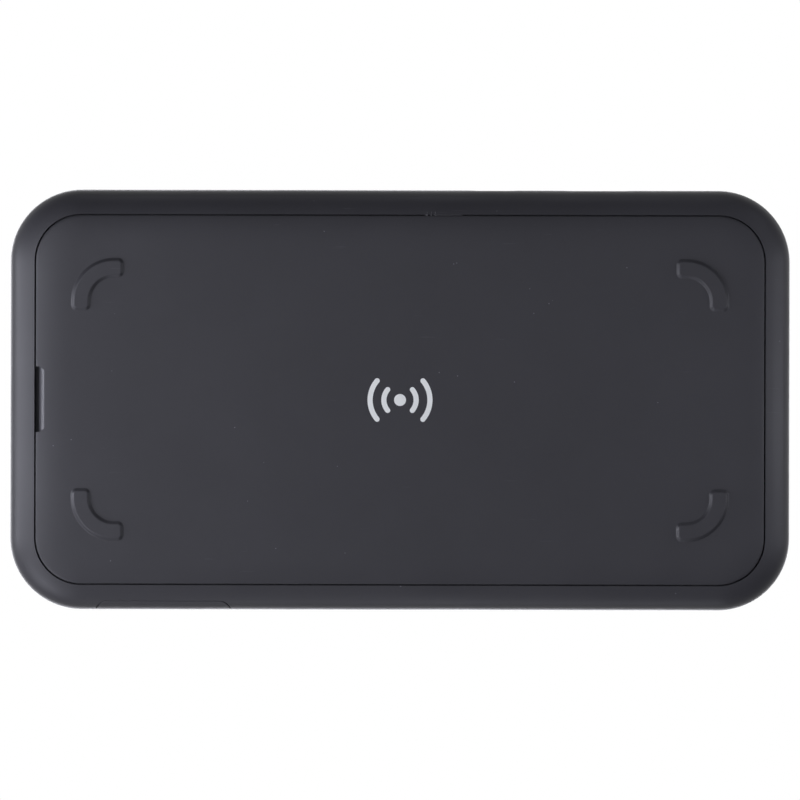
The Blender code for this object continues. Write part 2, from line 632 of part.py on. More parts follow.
def make_battery():
    (x0, y0, z0), (x1, y1, z1) = BATTERY
    cells = block("battery_pack", (x0, y0, z0), (x1 - BATTERY_CAP - 0.05, y1, z1))
    pack = finish(bevel(cells, 0.8), "battery_grey")
    cap = finish(bevel(block("battery_cap", (x1 - BATTERY_CAP, y0, z0), (x1, y1, z1)), 0.4, 1), "inner_black")
    label = block("battery_label", (x0 + 3, y0 + 3, z0 - 0.15), (x1 - 5, y1 - 3, z0 - 0.05))
    finish(label, "label_white")
    joint_empty("battery_axis", ((x0 + x1) / 2, 0.0, z0), pack, cap, label)
    connector = block("battery_connector", (35.75, 5.0, 4.6), (39.6, 17.0, 10.9))
    for index in range(4):
        y = 7.25 + 2.5 * index
        slot = (34.0, y - 0.75, 4.9), (37.5, y + 0.75, 9.0)
        cut(connector, block(f"contact_slot_{index}", *slot))
        path = [(37.1, 8.5), (36.4, 8.2), (35.75, 7.6), (35.4, 6.8), (35.65, 6.0), (36.3, 5.4)]
        finish(ribbon(f"battery_contact_{index + 1}", path, y - 0.5, y + 0.5, 0.16), "gold")
    finish(connector, "port_black")
    finish(block("bay_label", (-45.0, -20.0, 8.95), (25.0, 20.0, 9.05)), "label_white")


def make_sim():
    socket = block("sim_socket", (45.0, 0.9, 2.55), (57.0, 11.1, 4.0))
    cut(socket, block("sim_hollow", (45.25, 1.15, 2.8), (58.0, 10.85, 5.0)))
    finish(socket, "steel")
    corner = 1.6
    card_outline = [(46.6, 1.6), (58.9, 1.6), (58.9, 10.4), (46.6 + corner, 10.4), (46.6, 10.4 - corner)]
    card = finish(flat_plate("sim_card", card_outline, 3.1, 3.77), "card_white")
    joint_empty("sim_axis", (52.8, 6.0, 3.4), card)


# ---------------------------------------------------------------- board, shields and radio


def make_board():
    board = flat_plate("main_board", inset_outline(BOARD_INSET), *BOARD_Z)
    for index, (x, y) in enumerate(SCREWS):
        cut(board, cylinder(f"board_hole_{index}", (x, y, 10.0), (x, y, 13.0), 2.9, 16))
    cut(board, block("jack_cutout", (43.4, -45.0, 10.0), (58.4, -20.0, 13.0)))
    finish(board, "board_green")
    shields = {
        "modem": (-20.0, -30.0, 10.0, 4.0),
        "radio": (13.0, -30.0, 33.5, 4.0),
        "wifi": (-55.0, -30.0, -24.0, 4.0),
        "power": (-20.0, 9.0, 30.0, 30.0),
    }
    for name, (x0, y0, x1, y1) in shields.items():
        z0, z1 = BOARD_Z[1] + 0.05, SHIELD_TOP_Z
        shield = block(f"shield_{name}", (x0, y0, z0), (x1, y1, z1))
        wall = SHIELD_WALL
        hollow = (x0 + wall, y0 + wall, z0 - 1.0), (x1 - wall, y1 - wall, z1 - wall)
        cut(shield, block(f"hollow_{name}", *hollow))
        finish(shield, "tin")
        cx, cy = (x0 + x1) / 2, (y0 + y1) / 2
        finish(block(f"{name}_chip", (cx - 6, cy - 6, z0), (cx + 6, cy + 6, z0 + 1.0)), "chip_black")
    finish(block("thermal_pad", (-14.0, -22.0, 13.65), (4.0, -4.0, 13.95)), "pad_blue")
    spreader = block("heat_spreader", (-57.0, -30.0, 14.0), (33.0, 30.0, 14.4))
    cut(spreader, block("flex_slot", (-34.0, 9.0, 13.0), (-22.0, 23.0, 15.0)))
    finish(spreader, "graphite")


def make_antennas():
    x, y = LENGTH / 2 - WALL - 0.2, HALF_Y - WALL - 0.2
    strips = {
        "antenna_left": ((-x, -28.0), (-x + 0.25, 28.0)),
        "antenna_right": ((x - 0.25, -18.0), (x, 28.0)),
        "antenna_top": ((8.0, y - 0.25), (60.0, y)),
        "antenna_bottom": ((-60.0, -y), (22.0, -y + 0.25)),
    }
    for name, ((x0, y0), (x1, y1)) in strips.items():
        finish(block(name, (x0, y0, 4.6), (x1, y1, 10.4)), "film_amber")
    left = bevel(block("mmwave_module_left", (-72.3, -11.0, 5.0), (-68.8, 11.0, 9.6)), 0.3, 1)
    top = bevel(block("mmwave_module_top", (14.0, 33.6, 5.0), (36.0, 37.5, 9.6)), 0.3, 1)
    finish(left, "chip_black")
    finish(top, "chip_black")


def make_screws():
    for index, (x, y) in enumerate(SCREWS):
        screw = cylinder(f"screw_{index + 1}", (x, y, 2.5), (x, y, 3.55), 1.9, 20)
        join(screw, cylinder(f"shank_{index}", (x, y, 3.2), (x, y, 9.5), 0.9, 12))
        recess = block(f"cross_a_{index}", (x - 1.0, y - 0.22, 2.0), (x + 1.0, y + 0.22, 3.1))
        across = block(f"cross_b_{index}", (x - 0.22, y - 1.0, 2.0), (x + 0.22, y + 1.0, 3.1))
        finish(cut(screw, recess, across), "steel")


def make_hotspot():
    cover = make_rear_cover()
    make_rear_housing()
    make_front_housing()
    make_glass_and_display()
    make_port_door()
    make_usb_port()
    make_ethernet_port()
    make_buttons()
    make_battery()
    make_sim()
    make_board()
    make_antennas()
    make_screws()
    joint_empty("rear_cover_axis", COVER_AXIS, cover)


clear_scene()
PARTS = make_collection("mobile_hotspot")
CUTTERS = make_collection("cutters")
make_hotspot()
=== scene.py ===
"""Looks of the mobile hotspot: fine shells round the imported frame, materials, studio and camera."""

import json
import math

import bmesh
import bpy
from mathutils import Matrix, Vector


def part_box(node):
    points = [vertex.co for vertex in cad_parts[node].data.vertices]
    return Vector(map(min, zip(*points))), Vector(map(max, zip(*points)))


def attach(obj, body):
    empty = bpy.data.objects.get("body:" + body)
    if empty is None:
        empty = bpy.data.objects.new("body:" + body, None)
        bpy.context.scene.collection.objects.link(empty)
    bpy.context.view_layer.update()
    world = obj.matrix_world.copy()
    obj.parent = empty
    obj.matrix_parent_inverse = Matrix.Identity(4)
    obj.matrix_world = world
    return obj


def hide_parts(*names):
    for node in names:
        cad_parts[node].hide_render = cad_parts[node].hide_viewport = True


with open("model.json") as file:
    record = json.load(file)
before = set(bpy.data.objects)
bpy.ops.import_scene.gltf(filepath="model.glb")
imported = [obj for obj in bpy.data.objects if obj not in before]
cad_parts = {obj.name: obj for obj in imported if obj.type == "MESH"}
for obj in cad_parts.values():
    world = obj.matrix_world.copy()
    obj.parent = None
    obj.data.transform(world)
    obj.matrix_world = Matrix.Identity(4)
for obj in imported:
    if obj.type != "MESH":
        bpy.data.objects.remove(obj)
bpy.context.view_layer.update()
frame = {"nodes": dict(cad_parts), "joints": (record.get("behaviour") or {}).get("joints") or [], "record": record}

MM = 0.001
SHELL_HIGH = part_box("rear_housing")[1]
FRONT_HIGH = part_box("front_housing")[1]
COVER_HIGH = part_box("rear_cover")[1]
GLASS_LOW, GLASS_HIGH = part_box("front_glass")
DOOR_LOW, DOOR_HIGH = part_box("port_door")
HALF_X, HALF_Y = SHELL_HIGH.x, SHELL_HIGH.y
SPLIT_Z, TOP_Z = SHELL_HIGH.z, FRONT_HIGH.z

# The back's shape: a flat that rolls over into upright side walls
BACK_Z = 0.6 * MM
ROLL_WIDTH, ROLL_HEIGHT, ROLL_POWER = 13.0 * MM, 6.4 * MM, 3.0
CORNER_RADIUS = 13.8 * MM
CORNER_STEPS = 26
ROLL_STEPS = 22
WALL = 2.0 * MM
FRONT_EDGE = 2.4 * MM

# The rear cover and the pocket it lies in
COVER_INSET = HALF_X - COVER_HIGH.x
EDGE_X, EDGE_Y = HALF_X - COVER_INSET, HALF_Y - COVER_INSET
RIM_INSET = COVER_INSET - 0.24 * MM
COVER_INNER_Z = 1.9 * MM
PLATE_LOW, PLATE_HIGH = 2.2 * MM, 3.4 * MM
EDGE = 0.13 * MM  # radius of the small round along every seam
FOOT_X, FOOT_Y = 55.0 * MM, 18.95 * MM
FOOT_OUTER, FOOT_INNER, FOOT_RUN, FOOT_END = 7.8 * MM, 4.9 * MM, 1.45 * MM, 0.7 * MM
FOOT_IN, FOOT_OUT = 0.3 * MM, 0.62 * MM  # how far the foot's side leans in at its tip and out at its root
FOOT_SIDE_STEPS = 10
NOTCH_HALF, NOTCH_DEPTH = 6.3 * MM, 0.65 * MM
NOTCH_RAMP, NOTCH_DROP, NOTCH_TAPER = 0.96 * MM, 0.9 * MM, 0.7 * MM
SLOT_X = COVER_HIGH.x - NOTCH_DEPTH
RAMP_X = SLOT_X - NOTCH_RAMP

# The cover's clips. A profile holds (distance in from the cover's edge, height) in mm
HOOKS_ABOVE, HOOKS_BELOW, HOOKS_END = (-45.0, -8.3, 50.0), (-40.0, 22.0), (-22.0, 22.0)
HOOK_HALF, TONGUE_HALF, TONGUE_Y = 3.5 * MM, 4.0 * MM, 20.0 * MM
CLIP_PLAY = 0.4 * MM
HOOK_PROFILE = (
    (0.7, 1.6), (1.7, 1.6), (1.7, 3.15), (1.55, 3.3),
    (0.55, 3.3), (0.4, 3.15), (0.4, 2.95), (0.7, 2.7),
)
TONGUE_PROFILE = (
    (0.4, 1.6), (2.4, 1.6), (2.4, 2.8), (-1.1, 2.8),
    (-1.2, 2.7), (-1.2, 2.3), (-1.1, 2.2), (0.4, 2.2),
)

# Hollows under the cover. Each depth is the height of the hollow's far end
BAY_GAP, BAY_WALL, BAY_DEPTH = 0.6 * MM, 1.2 * MM, 9.1 * MM
SCOOP_X, SCOOP_Y, SCOOP_RADIUS, SCOOP_DEPTH = 43.0 * MM, 2.0 * MM, 6.5 * MM, 7.0 * MM
SIM_DEPTH, SIM_WALL = 4.1 * MM, 1.0 * MM
RESET_HOLE, RESET_TUBE, RESET_TUBE_TOP = 0.9 * MM, 1.9 * MM, 6.5 * MM
SCREW_PAD, SCREW_HEAD, SCREW_SHANK = 3.4 * MM, 2.3 * MM, 1.3 * MM
SCREW_SEAT = 3.7 * MM

# The port door, the ports behind it and the side keys
DOOR_GAP, DOOR_CORNER = 0.2 * MM, 1.8 * MM
POCKET_Y = 2.5 * MM - HALF_Y
PORT_WALL_Y = 3.7 * MM - HALF_Y
PORT_GAP = 0.3 * MM
BARREL_RADIUS, BORE_RADIUS = 0.95 * MM, 0.54 * MM
KEY_FLANGE_X, KEY_FLANGE_Z, KEY_GAP = 1.2 * MM, 1.05 * MM, 0.25 * MM

# The front
SPLIT_GAP = 0.2 * MM
CORE_LOW, CORE_HIGH = 10.0 * MM, 15.4 * MM
GLASS_SEAT = 16.6 * MM
GLASS_ROUND = 0.25 * MM
LIP_LOW, LIP_HIGH = 13.4 * MM, 15.8 * MM
BOSS_RADIUS, BOSS_LOW, BOSS_HIGH, PILOT_RADIUS = 2.5 * MM, 5.3 * MM, 15.9 * MM, 1.2 * MM

# The printed sign
SIGN_DOT, SIGN_ARCS, SIGN_WIDTH = 1.15 * MM, (3.1 * MM, 5.75 * MM), 1.0 * MM
SIGN_HALF_ANGLE = math.radians(40.0)

SOFT_TINT = (0.0335, 0.0330, 0.0375)
SHARP_FROM = 30.0  # edges that turn by more than this many degrees stay sharp


# ---------------------------------------------------------------- mesh helpers


def new_object(name, mesh):
    made = bpy.data.objects.new(name, mesh)
    bpy.context.scene.collection.objects.link(made)
    return made


def closed_mesh(name, bm):
    bmesh.ops.recalc_face_normals(bm, faces=bm.faces)
    mesh = bpy.data.meshes.new(name)
    bm.to_mesh(mesh)
    bm.free()
    return mesh


def loft(name, rings):
    """One closed solid through rings that have the same number of points, capped at both ends."""
    bm = bmesh.new()
    made = [[bm.verts.new(point) for point in ring] for ring in rings]
    for lower, upper in zip(made, made[1:]):
        for i in range(len(lower)):
            j = (i + 1) % len(lower)
            bm.faces.new((lower[i], lower[j], upper[j], upper[i]))
    bm.faces.new(list(reversed(made[0])))
    bm.faces.new(made[-1])
    return new_object(name, closed_mesh(name, bm))


def plan_prism(name, outline, low, high):
    """An outline in XY, solid from low to high in Z."""
    return loft(name, [[(x, y, z) for x, y in outline] for z in (low, high)])


def side_prism(name, outline, low, high):
    """An outline in XZ, solid from low to high in Y."""
    return loft(name, [[(x, y, z) for x, z in outline] for y in (low, high)])


def box_solid(name, low, high):
    outline = [(low[0], low[1]), (high[0], low[1]), (high[0], high[1]), (low[0], high[1])]
    return plan_prism(name, outline, low[2], high[2])


def circle(x, y, radius, steps=40):
    turns = [2 * math.pi * i / steps for i in range(steps)]
    return [(x + radius * math.cos(a), y + radius * math.sin(a)) for a in turns]


def rounded_rectangle(low_x, low_y, high_x, high_y, radius, steps=10):
    points = []
    centres = (
        (high_x - radius, low_y + radius, -90.0),
        (high_x - radius, high_y - radius, 0.0),
        (low_x + radius, high_y - radius, 90.0),
        (low_x + radius, low_y + radius, 180.0),
    )
    for x, y, start in centres:
        for step in range(steps + 1):
            angle = math.radians(start + 90.0 * step / steps)
            points.append((x + radius * math.cos(angle), y + radius * math.sin(angle)))
    return points


def device_outline(inset):
    x, y = HALF_X - inset, HALF_Y - inset
    return rounded_rectangle(-x, -y, x, y, max(CORNER_RADIUS - inset, 0.5 * MM), CORNER_STEPS)


def ring(inset, z):
    return [(x, y, z) for x, y in device_outline(inset)]


def back_height(inset):
    """Height of the back's outer surface at a distance in from the outline."""
    along = max(0.0, 1.0 - inset / ROLL_WIDTH)
    left = (1.0 - along**ROLL_POWER) ** (1.0 / ROLL_POWER)
    return BACK_Z + ROLL_HEIGHT * (1.0 - left)


def roll_insets(innermost, outermost, steps):
    """Insets from innermost out to outermost, closer together where the surface turns faster."""
    angles = []
    for inset in (innermost, outermost):
        share = max(0.0, 1.0 - inset / ROLL_WIDTH)
        angles.append(math.asin(min(1.0, share ** (ROLL_POWER / 2))))
    spread = [angles[0] + (angles[1] - angles[0]) * i / steps for i in range(steps + 1)]
    return [ROLL_WIDTH * (1.0 - math.sin(a) ** (2 / ROLL_POWER)) for a in spread]


def carve(target, cutters, operation="DIFFERENCE"):
    """Cuts or joins the tools one after another, and keeps only the result."""
    for number, tool in enumerate(cutters):
        modifier = target.modifiers.new(f"tool_{number}", "BOOLEAN")
        modifier.operation = operation
        modifier.solver = "EXACT"
        modifier.object = tool
    bpy.context.view_layer.update()
    graph = bpy.context.evaluated_depsgraph_get()
    mesh = bpy.data.meshes.new_from_object(target.evaluated_get(graph))
    target.modifiers.clear()
    target.data = mesh
    mesh.name = target.name
    for tool in cutters:
        bpy.data.objects.remove(tool)
    return target


def dress(piece, body, material, replaces=()):
    """Shades a piece, gives it its material and puts it on its body."""
    piece.data.materials.clear()
    piece.data.materials.append(material)
    piece.data.shade_smooth()
    piece.data.set_sharp_from_angle(angle=math.radians(SHARP_FROM))
    even = piece.modifiers.new("even_normals", "WEIGHTED_NORMAL")
    even.keep_sharp = True
    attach(piece, body)
    if replaces:
        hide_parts(*replaces)
    return piece


# ---------------------------------------------------------------- material helpers


class Graph:
    """A short way to write a material's nodes."""

    def __init__(self, name):
        self.material = bpy.data.materials.new(name)
        self.material.use_nodes = True
        self.tree = self.material.node_tree
        self.shader = self.tree.nodes["Principled BSDF"]
        self.place = self.add("ShaderNodeTexCoord").outputs["Object"]

    def add(self, kind, **settings):
        node = self.tree.nodes.new(kind)
        for key, value in settings.items():
            setattr(node, key, value)
        return node

    def feed(self, socket, value):
        if isinstance(value, bpy.types.NodeSocket):
            self.tree.links.new(value, socket)
        else:
            socket.default_value = value

    def axes(self):
        node = self.add("ShaderNodeSeparateXYZ")
        self.feed(node.inputs[0], self.place)
        return [node.outputs[axis] for axis in "XYZ"]

    def stretch(self, scale):
        node = self.add("ShaderNodeMapping")
        self.feed(node.inputs["Vector"], self.place)
        self.feed(node.inputs["Scale"], scale)
        return node.outputs["Vector"]

    def noise(self, scale, detail=2.0, vector=None, roughness=0.5):
        node = self.add("ShaderNodeTexNoise")
        self.feed(node.inputs["Vector"], vector or self.place)
        self.feed(node.inputs["Scale"], scale)
        self.feed(node.inputs["Detail"], detail)
        self.feed(node.inputs["Roughness"], roughness)
        return node.outputs["Fac"]

    def cells(self, scale):
        node = self.add("ShaderNodeTexVoronoi")
        self.feed(node.inputs["Vector"], self.place)
        self.feed(node.inputs["Scale"], scale)
        return node.outputs["Distance"]

    def math(self, operation, first, second=0.0, clamp=False):
        node = self.add("ShaderNodeMath", operation=operation, use_clamp=clamp)
        self.feed(node.inputs[0], first)
        self.feed(node.inputs[1], second)
        return node.outputs[0]

    def spread(self, value, low, high, to_low=0.0, to_high=1.0):
        """Maps low..high to to_low..to_high, and holds outside it."""
        node = self.add("ShaderNodeMapRange")
        sockets = "Value", "From Min", "From Max", "To Min", "To Max"
        for socket, given in zip(sockets, (value, low, high, to_low, to_high)):
            self.feed(node.inputs[socket], given)
        return node.outputs["Result"]

    def mix(self, share, first, second):
        node = self.add("ShaderNodeMix", data_type="RGBA")
        self.feed(node.inputs[0], share)
        for socket, given in ((node.inputs[6], first), (node.inputs[7], second)):
            self.feed(socket, (*given, 1.0) if isinstance(given, tuple) else given)
        return node.outputs[2]

    def bump(self, height, distance, strength):
        node = self.add("ShaderNodeBump")
        self.feed(node.inputs["Height"], height)
        self.feed(node.inputs["Distance"], distance)
        self.feed(node.inputs["Strength"], strength)
        return node.outputs["Normal"]

    def finish(self, colour, roughness, normal=None, metallic=0.0, **more):
        self.feed(self.shader.inputs["Base Color"], (*colour, 1.0) if isinstance(colour, tuple) else colour)
        self.feed(self.shader.inputs["Roughness"], roughness)
        self.feed(self.shader.inputs["Metallic"], metallic)
        if normal:
            self.feed(self.shader.inputs["Normal"], normal)
        for socket, value in more.items():
            self.feed(self.shader.inputs[socket.replace("_", " ")], value)
        return self.material


def scaled(colour, factor):
    return tuple(channel * factor for channel in colour)


def soft_touch(name, colour=SOFT_TINT, roughness=0.50, dust=1.0, notch_wear_and_painted_sheen=False):
    """Soft-touch painted plastic: a fine even grain, faint clouding, rubbed patches and a little dust."""
    g = Graph(name)
    clouds = g.noise(45.0, 4.0, roughness=0.6)
    base = g.mix(g.spread(clouds, 0.3, 0.7), scaled(colour, 0.93), scaled(colour, 1.07))
    grain = g.noise(4200.0, 3.0, roughness=0.7)
    base = g.mix(g.spread(grain, 0.35, 0.65, 0.0, 0.10), base, scaled(colour, 1.6))
    motes = g.math("LESS_THAN", g.cells(420.0), 0.045)
    chosen = g.math("GREATER_THAN", g.noise(95.0, 1.0), 0.60)
    specks = g.math("MULTIPLY", g.math("MULTIPLY", motes, chosen), 0.55 * dust)
    base = g.mix(specks, base, (0.30, 0.30, 0.32))
    hair = g.math("GREATER_THAN", g.noise(1.0, 2.0, vector=g.stretch((120.0, 2600.0, 300.0))), 0.755)
    base = g.mix(g.math("MULTIPLY", hair, 0.10 * dust), base, (0.20, 0.20, 0.22))
    rubbed = g.spread(g.noise(28.0, 3.0), 0.35, 0.65, roughness - 0.04, roughness + 0.04)
    # On the notch's ramp the roughness drops with wear, and the colour is lightened as a painted highlight
    if notch_wear_and_painted_sheen:
        wear_and_painted_sheen = on_notch_ramp(g)
        base = g.mix(g.math("MULTIPLY", wear_and_painted_sheen, 0.35), base, scaled(colour, 2.4))
        rubbed = g.math("SUBTRACT", rubbed, g.math("MULTIPLY", wear_and_painted_sheen, 0.1))
    normal = g.bump(grain, 0.00002, 0.35)
    return g.finish(base, rubbed, normal, Specular_IOR_Level=0.5)


def on_notch_ramp(g):
    """1 on the slope that fingernails rub in the pry notch, and 0 elsewhere on the cover. There the mask lowers
    the roughness as wear, and lightens the colour as a painted highlight.
    """
    x, y, z = g.axes()
    along = g.math("LESS_THAN", g.math("ABSOLUTE", y), NOTCH_HALF)
    across = g.math("MULTIPLY", g.math("GREATER_THAN", x, RAMP_X), g.math("LESS_THAN", x, SLOT_X + 0.02 * MM))
    lean = 0.4 * NOTCH_DROP / NOTCH_RAMP  # between the slope of the ramp and that of the cover's face
    depth = g.math("SUBTRACT", z, g.math("MULTIPLY", x, lean))
    deep = g.math("GREATER_THAN", depth, back_height(HALF_X - RAMP_X) - lean * RAMP_X + 0.01 * MM)
    return g.math("MULTIPLY", g.math("MULTIPLY", along, across), deep)


def moulded(name, colour, roughness=0.45, grain_scale=2400.0, depth=0.00002, clouding=0.08):
    """Plain moulded plastic or rubber with a fine spark-eroded grain."""
    g = Graph(name)
    clouds = g.spread(g.noise(160.0, 3.0), 0.3, 0.7)
    base = g.mix(clouds, scaled(colour, 1.0 - clouding), scaled(colour, 1.0 + clouding))
    grain = g.noise(grain_scale, 2.0)
    rough = g.spread(grain, 0.3, 0.7, roughness - 0.06, roughness + 0.06)
    return g.finish(base, rough, g.bump(grain, depth, 0.4))


def sheet_metal(name, colour, roughness=0.32, stretch=(60.0, 4200.0, 4200.0)):
    """Rolled or drawn metal: fine lines one way, and faint handling marks."""
    g = Graph(name)
    lines = g.noise(1.0, 3.0, vector=g.stretch(stretch))
    marks = g.noise(220.0, 3.0)
    base = g.mix(g.spread(marks, 0.3, 0.7), scaled(colour, 0.86), scaled(colour, 1.04))
    rough = g.spread(lines, 0.3, 0.7, roughness - 0.08, roughness + 0.12)
    return g.finish(base, rough, g.bump(lines, 0.000006, 0.5), metallic=1.0)


# ---------------------------------------------------------------- rear cover


def foot_outline(grow):
    """A quarter ring about the origin that runs on straight past both ends, grown on all sides."""
    outer, inner, corner = FOOT_OUTER + grow, FOOT_INNER - grow, FOOT_END + grow
    end = corner - FOOT_RUN - grow
    arcs = (
        (outer - corner, end, corner, -90.0, 0.0, 10),
        (0.0, 0.0, outer, 0.0, 90.0, 36),
        (end, outer - corner, corner, 90.0, 180.0, 10),
        (end, inner + corner, corner, 180.0, 270.0, 10),
        (0.0, 0.0, inner, 90.0, 0.0, 28),
        (inner + corner, end, corner, 180.0, 270.0, 10),
    )
    points = []
    for x, y, radius, start, stop, steps in arcs:
        for step in range(steps + 1):
            angle = math.radians(start + (stop - start) * step / steps)
            points.append((x + radius * math.cos(angle), y + radius * math.sin(angle)))
    return points


def foot_side():
    """(height, growth) up a foot's side, which eases out of its flat tip and into the cover."""
    levels = []
    for step in range(FOOT_SIDE_STEPS + 1):
        share = step / FOOT_SIDE_STEPS
        rise = share**3 * (10.0 - 15.0 * share + 6.0 * share**2)
        levels.append(((BACK_Z + 0.01 * MM) * rise, share * (FOOT_IN + FOOT_OUT) - FOOT_IN))
    return [*levels, (BACK_Z + 0.35 * MM, FOOT_OUT)]


def make_feet():
    feet = []
    for sign_x in (-1, 1):
        for sign_y in (-1, 1):
            levels = []
            for z, grow in foot_side():
                outline = foot_outline(grow)
                levels.append([(sign_x * (FOOT_X + x), sign_y * (FOOT_Y + y), z) for x, y in outline])
            feet.append(loft(f"foot_{sign_x}_{sign_y}", levels))
    return feet


def cover_rings():
    insets = roll_insets(ROLL_WIDTH, COVER_INSET + EDGE, 12)
    rings = [ring(u, back_height(u)) for u in insets]
    edge_z = back_height(COVER_INSET)
    for turn in (30.0, 60.0, 90.0):
        a = math.radians(turn)
        rings.append(ring(COVER_INSET + EDGE * (1 - math.sin(a)), edge_z + EDGE * (1.0 - math.cos(a))))
    rings.append(ring(COVER_INSET, COVER_INNER_Z - 0.1 * MM))
    rings.append(ring(COVER_INSET + 0.1 * MM, COVER_INNER_Z))
    return rings


def hook_places():
    """(x, y, whether long in X) of each snap hook, as the CAD has them."""
    places = [(x * MM, EDGE_Y, True) for x in HOOKS_ABOVE]
    places += [(x * MM, -EDGE_Y, True) for x in HOOKS_BELOW]
    return places + [(EDGE_X, y * MM, False) for y in HOOKS_END]


def make_hook(x, y, along_x):
    sign = math.copysign(1.0, y)
    ends = []
    for end in (-HOOK_HALF, HOOK_HALF):
        if along_x:
            ends.append([(x + end, y - sign * d * MM, z * MM) for d, z in HOOK_PROFILE])
        else:
            ends.append([(x - d * MM, y + end, z * MM) for d, z in HOOK_PROFILE])
    return loft(f"hook_{x * 1000:.0f}_{y * 1000:.0f}", ends)


def make_tongues():
    made = []
    for y in (-TONGUE_Y, TONGUE_Y):
        ends = []
        for end in (y - TONGUE_HALF, y + TONGUE_HALF):
            ends.append([(d * MM - EDGE_X, end, z * MM) for d, z in TONGUE_PROFILE])
        made.append(loft(f"tongue_{y * 1000:.0f}", ends))
    return made


def make_cover(material):
    cover = loft("cover_shell", cover_rings())
    hooks = [make_hook(*place) for place in hook_places()]
    carve(cover, make_feet() + make_tongues() + hooks, "UNION")
    slot = box_solid("notch_slot", (SLOT_X, -NOTCH_HALF, -MM), (COVER_HIGH.x + MM, NOTCH_HALF, 3 * MM))
    carve(cover, [slot, notch_ramp(), *inner_recesses()])
    return dress(cover, "rear_cover", material, ["rear_cover"])


def notch_ramp():
    """A cut that slopes down to the notch's slot, and is shorter where it meets the cover's face."""
    top, reach = back_height(HALF_X - RAMP_X), SLOT_X + 0.01 * MM
    profile = ((RAMP_X, top), (RAMP_X, top - MM), (reach, top - MM), (reach, top + NOTCH_DROP))
    taper = NOTCH_TAPER / NOTCH_RAMP
    ends = []
    for side in (-1, 1):
        ends.append([(x, side * (NOTCH_HALF - taper * (SLOT_X - x)), z) for x, z in profile])
    return loft("notch_ramp", ends)


def inner_recesses():
    """Shallow moulded panels between the ribs of the cover's inner face."""
    panels = []
    columns, rows, rib, sunk = 5, 3, 1.6 * MM, 0.35 * MM
    reach_x, reach_y = 62 * MM, 29 * MM
    step_x, step_y = 2 * reach_x / columns, 2 * reach_y / rows
    for i in range(columns):
        for j in range(rows):
            x, y = i * step_x - reach_x, j * step_y - reach_y
            outline = rounded_rectangle(x + rib, y + rib, x + step_x - rib, y + step_y - rib, 2.0 * MM, 6)
            panels.append(plan_prism(f"panel_{i}_{j}", outline, COVER_INNER_Z - sunk, COVER_INNER_Z + MM))
    return panels


# ---------------------------------------------------------------- rear housing


def make_rear_housing(material):
    seam_z = back_height(RIM_INSET)
    rings = [ring(RIM_INSET, PLATE_LOW), ring(RIM_INSET, seam_z + EDGE)]
    for turn in (60.0, 30.0):
        a = math.radians(turn)
        rings.append(ring(RIM_INSET - EDGE * (1 - math.sin(a)), seam_z + EDGE * (1.0 - math.cos(a))))
    rings += [ring(u, back_height(u)) for u in roll_insets(RIM_INSET - EDGE, 0.0, ROLL_STEPS)]
    rings += [ring(0.0, SPLIT_Z - 0.15 * MM), ring(0.12 * MM, SPLIT_Z)]
    housing = loft("housing_shell", rings)
    cutters = [housing_core(), edge_channel(), *bay_cutters(), *screw_cutters(), *slot_cutters()]
    carve(housing, [*cutters, *door_cutters(), *button_cutters()])
    carve(housing, [seam_catch()], "UNION")
    return dress(housing, "housing", material, ["rear_housing"])


def edge_channel():
    """A channel under the cover's edge, so that the seam and the notch open on to darkness."""
    below, width = 0.25 * MM, 1.4 * MM
    outline = device_outline(RIM_INSET + 0.02 * MM)
    channel = plan_prism("channel", outline, PLATE_LOW - below, PLATE_HIGH - below)
    inside = plan_prism("channel_inside", device_outline(RIM_INSET + width), 0.0, 2 * PLATE_HIGH)
    return carve(channel, [inside])


def seam_catch():
    """The small catch that bridges the seam over the middle hook, with a few teeth at one end."""
    wall_y = HALF_Y - RIM_INSET
    middle, half = hook_places()[1][0], 3.65 * MM
    top, foot = back_height(RIM_INSET) + 0.12 * MM, PLATE_LOW + 0.2 * MM
    teeth, pitch, depth = 3, 0.75 * MM, 0.45 * MM
    tip = back_height(RIM_INSET) + 0.03 * MM
    profile = [(middle - half, top), (middle - half, foot), (middle + half, foot)]
    for tooth in range(teeth):
        end = middle + half - tooth * pitch
        profile += [(end, tip + depth), (end - 0.8 * pitch, tip)]
    profile.append((middle + half - teeth * pitch, top))
    return side_prism("seam_catch", profile, wall_y - 0.18 * MM, wall_y + 0.5 * MM)


def battery_box():
    low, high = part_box("battery_pack")
    return low, Vector((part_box("battery_cap")[1].x, high.y, high.z))


def screw_centres():
    centres = []
    for number in range(1, 7):
        low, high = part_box(f"screw_{number}")
        centres.append(((low.x + high.x) / 2, (low.y + high.y) / 2))
    return centres


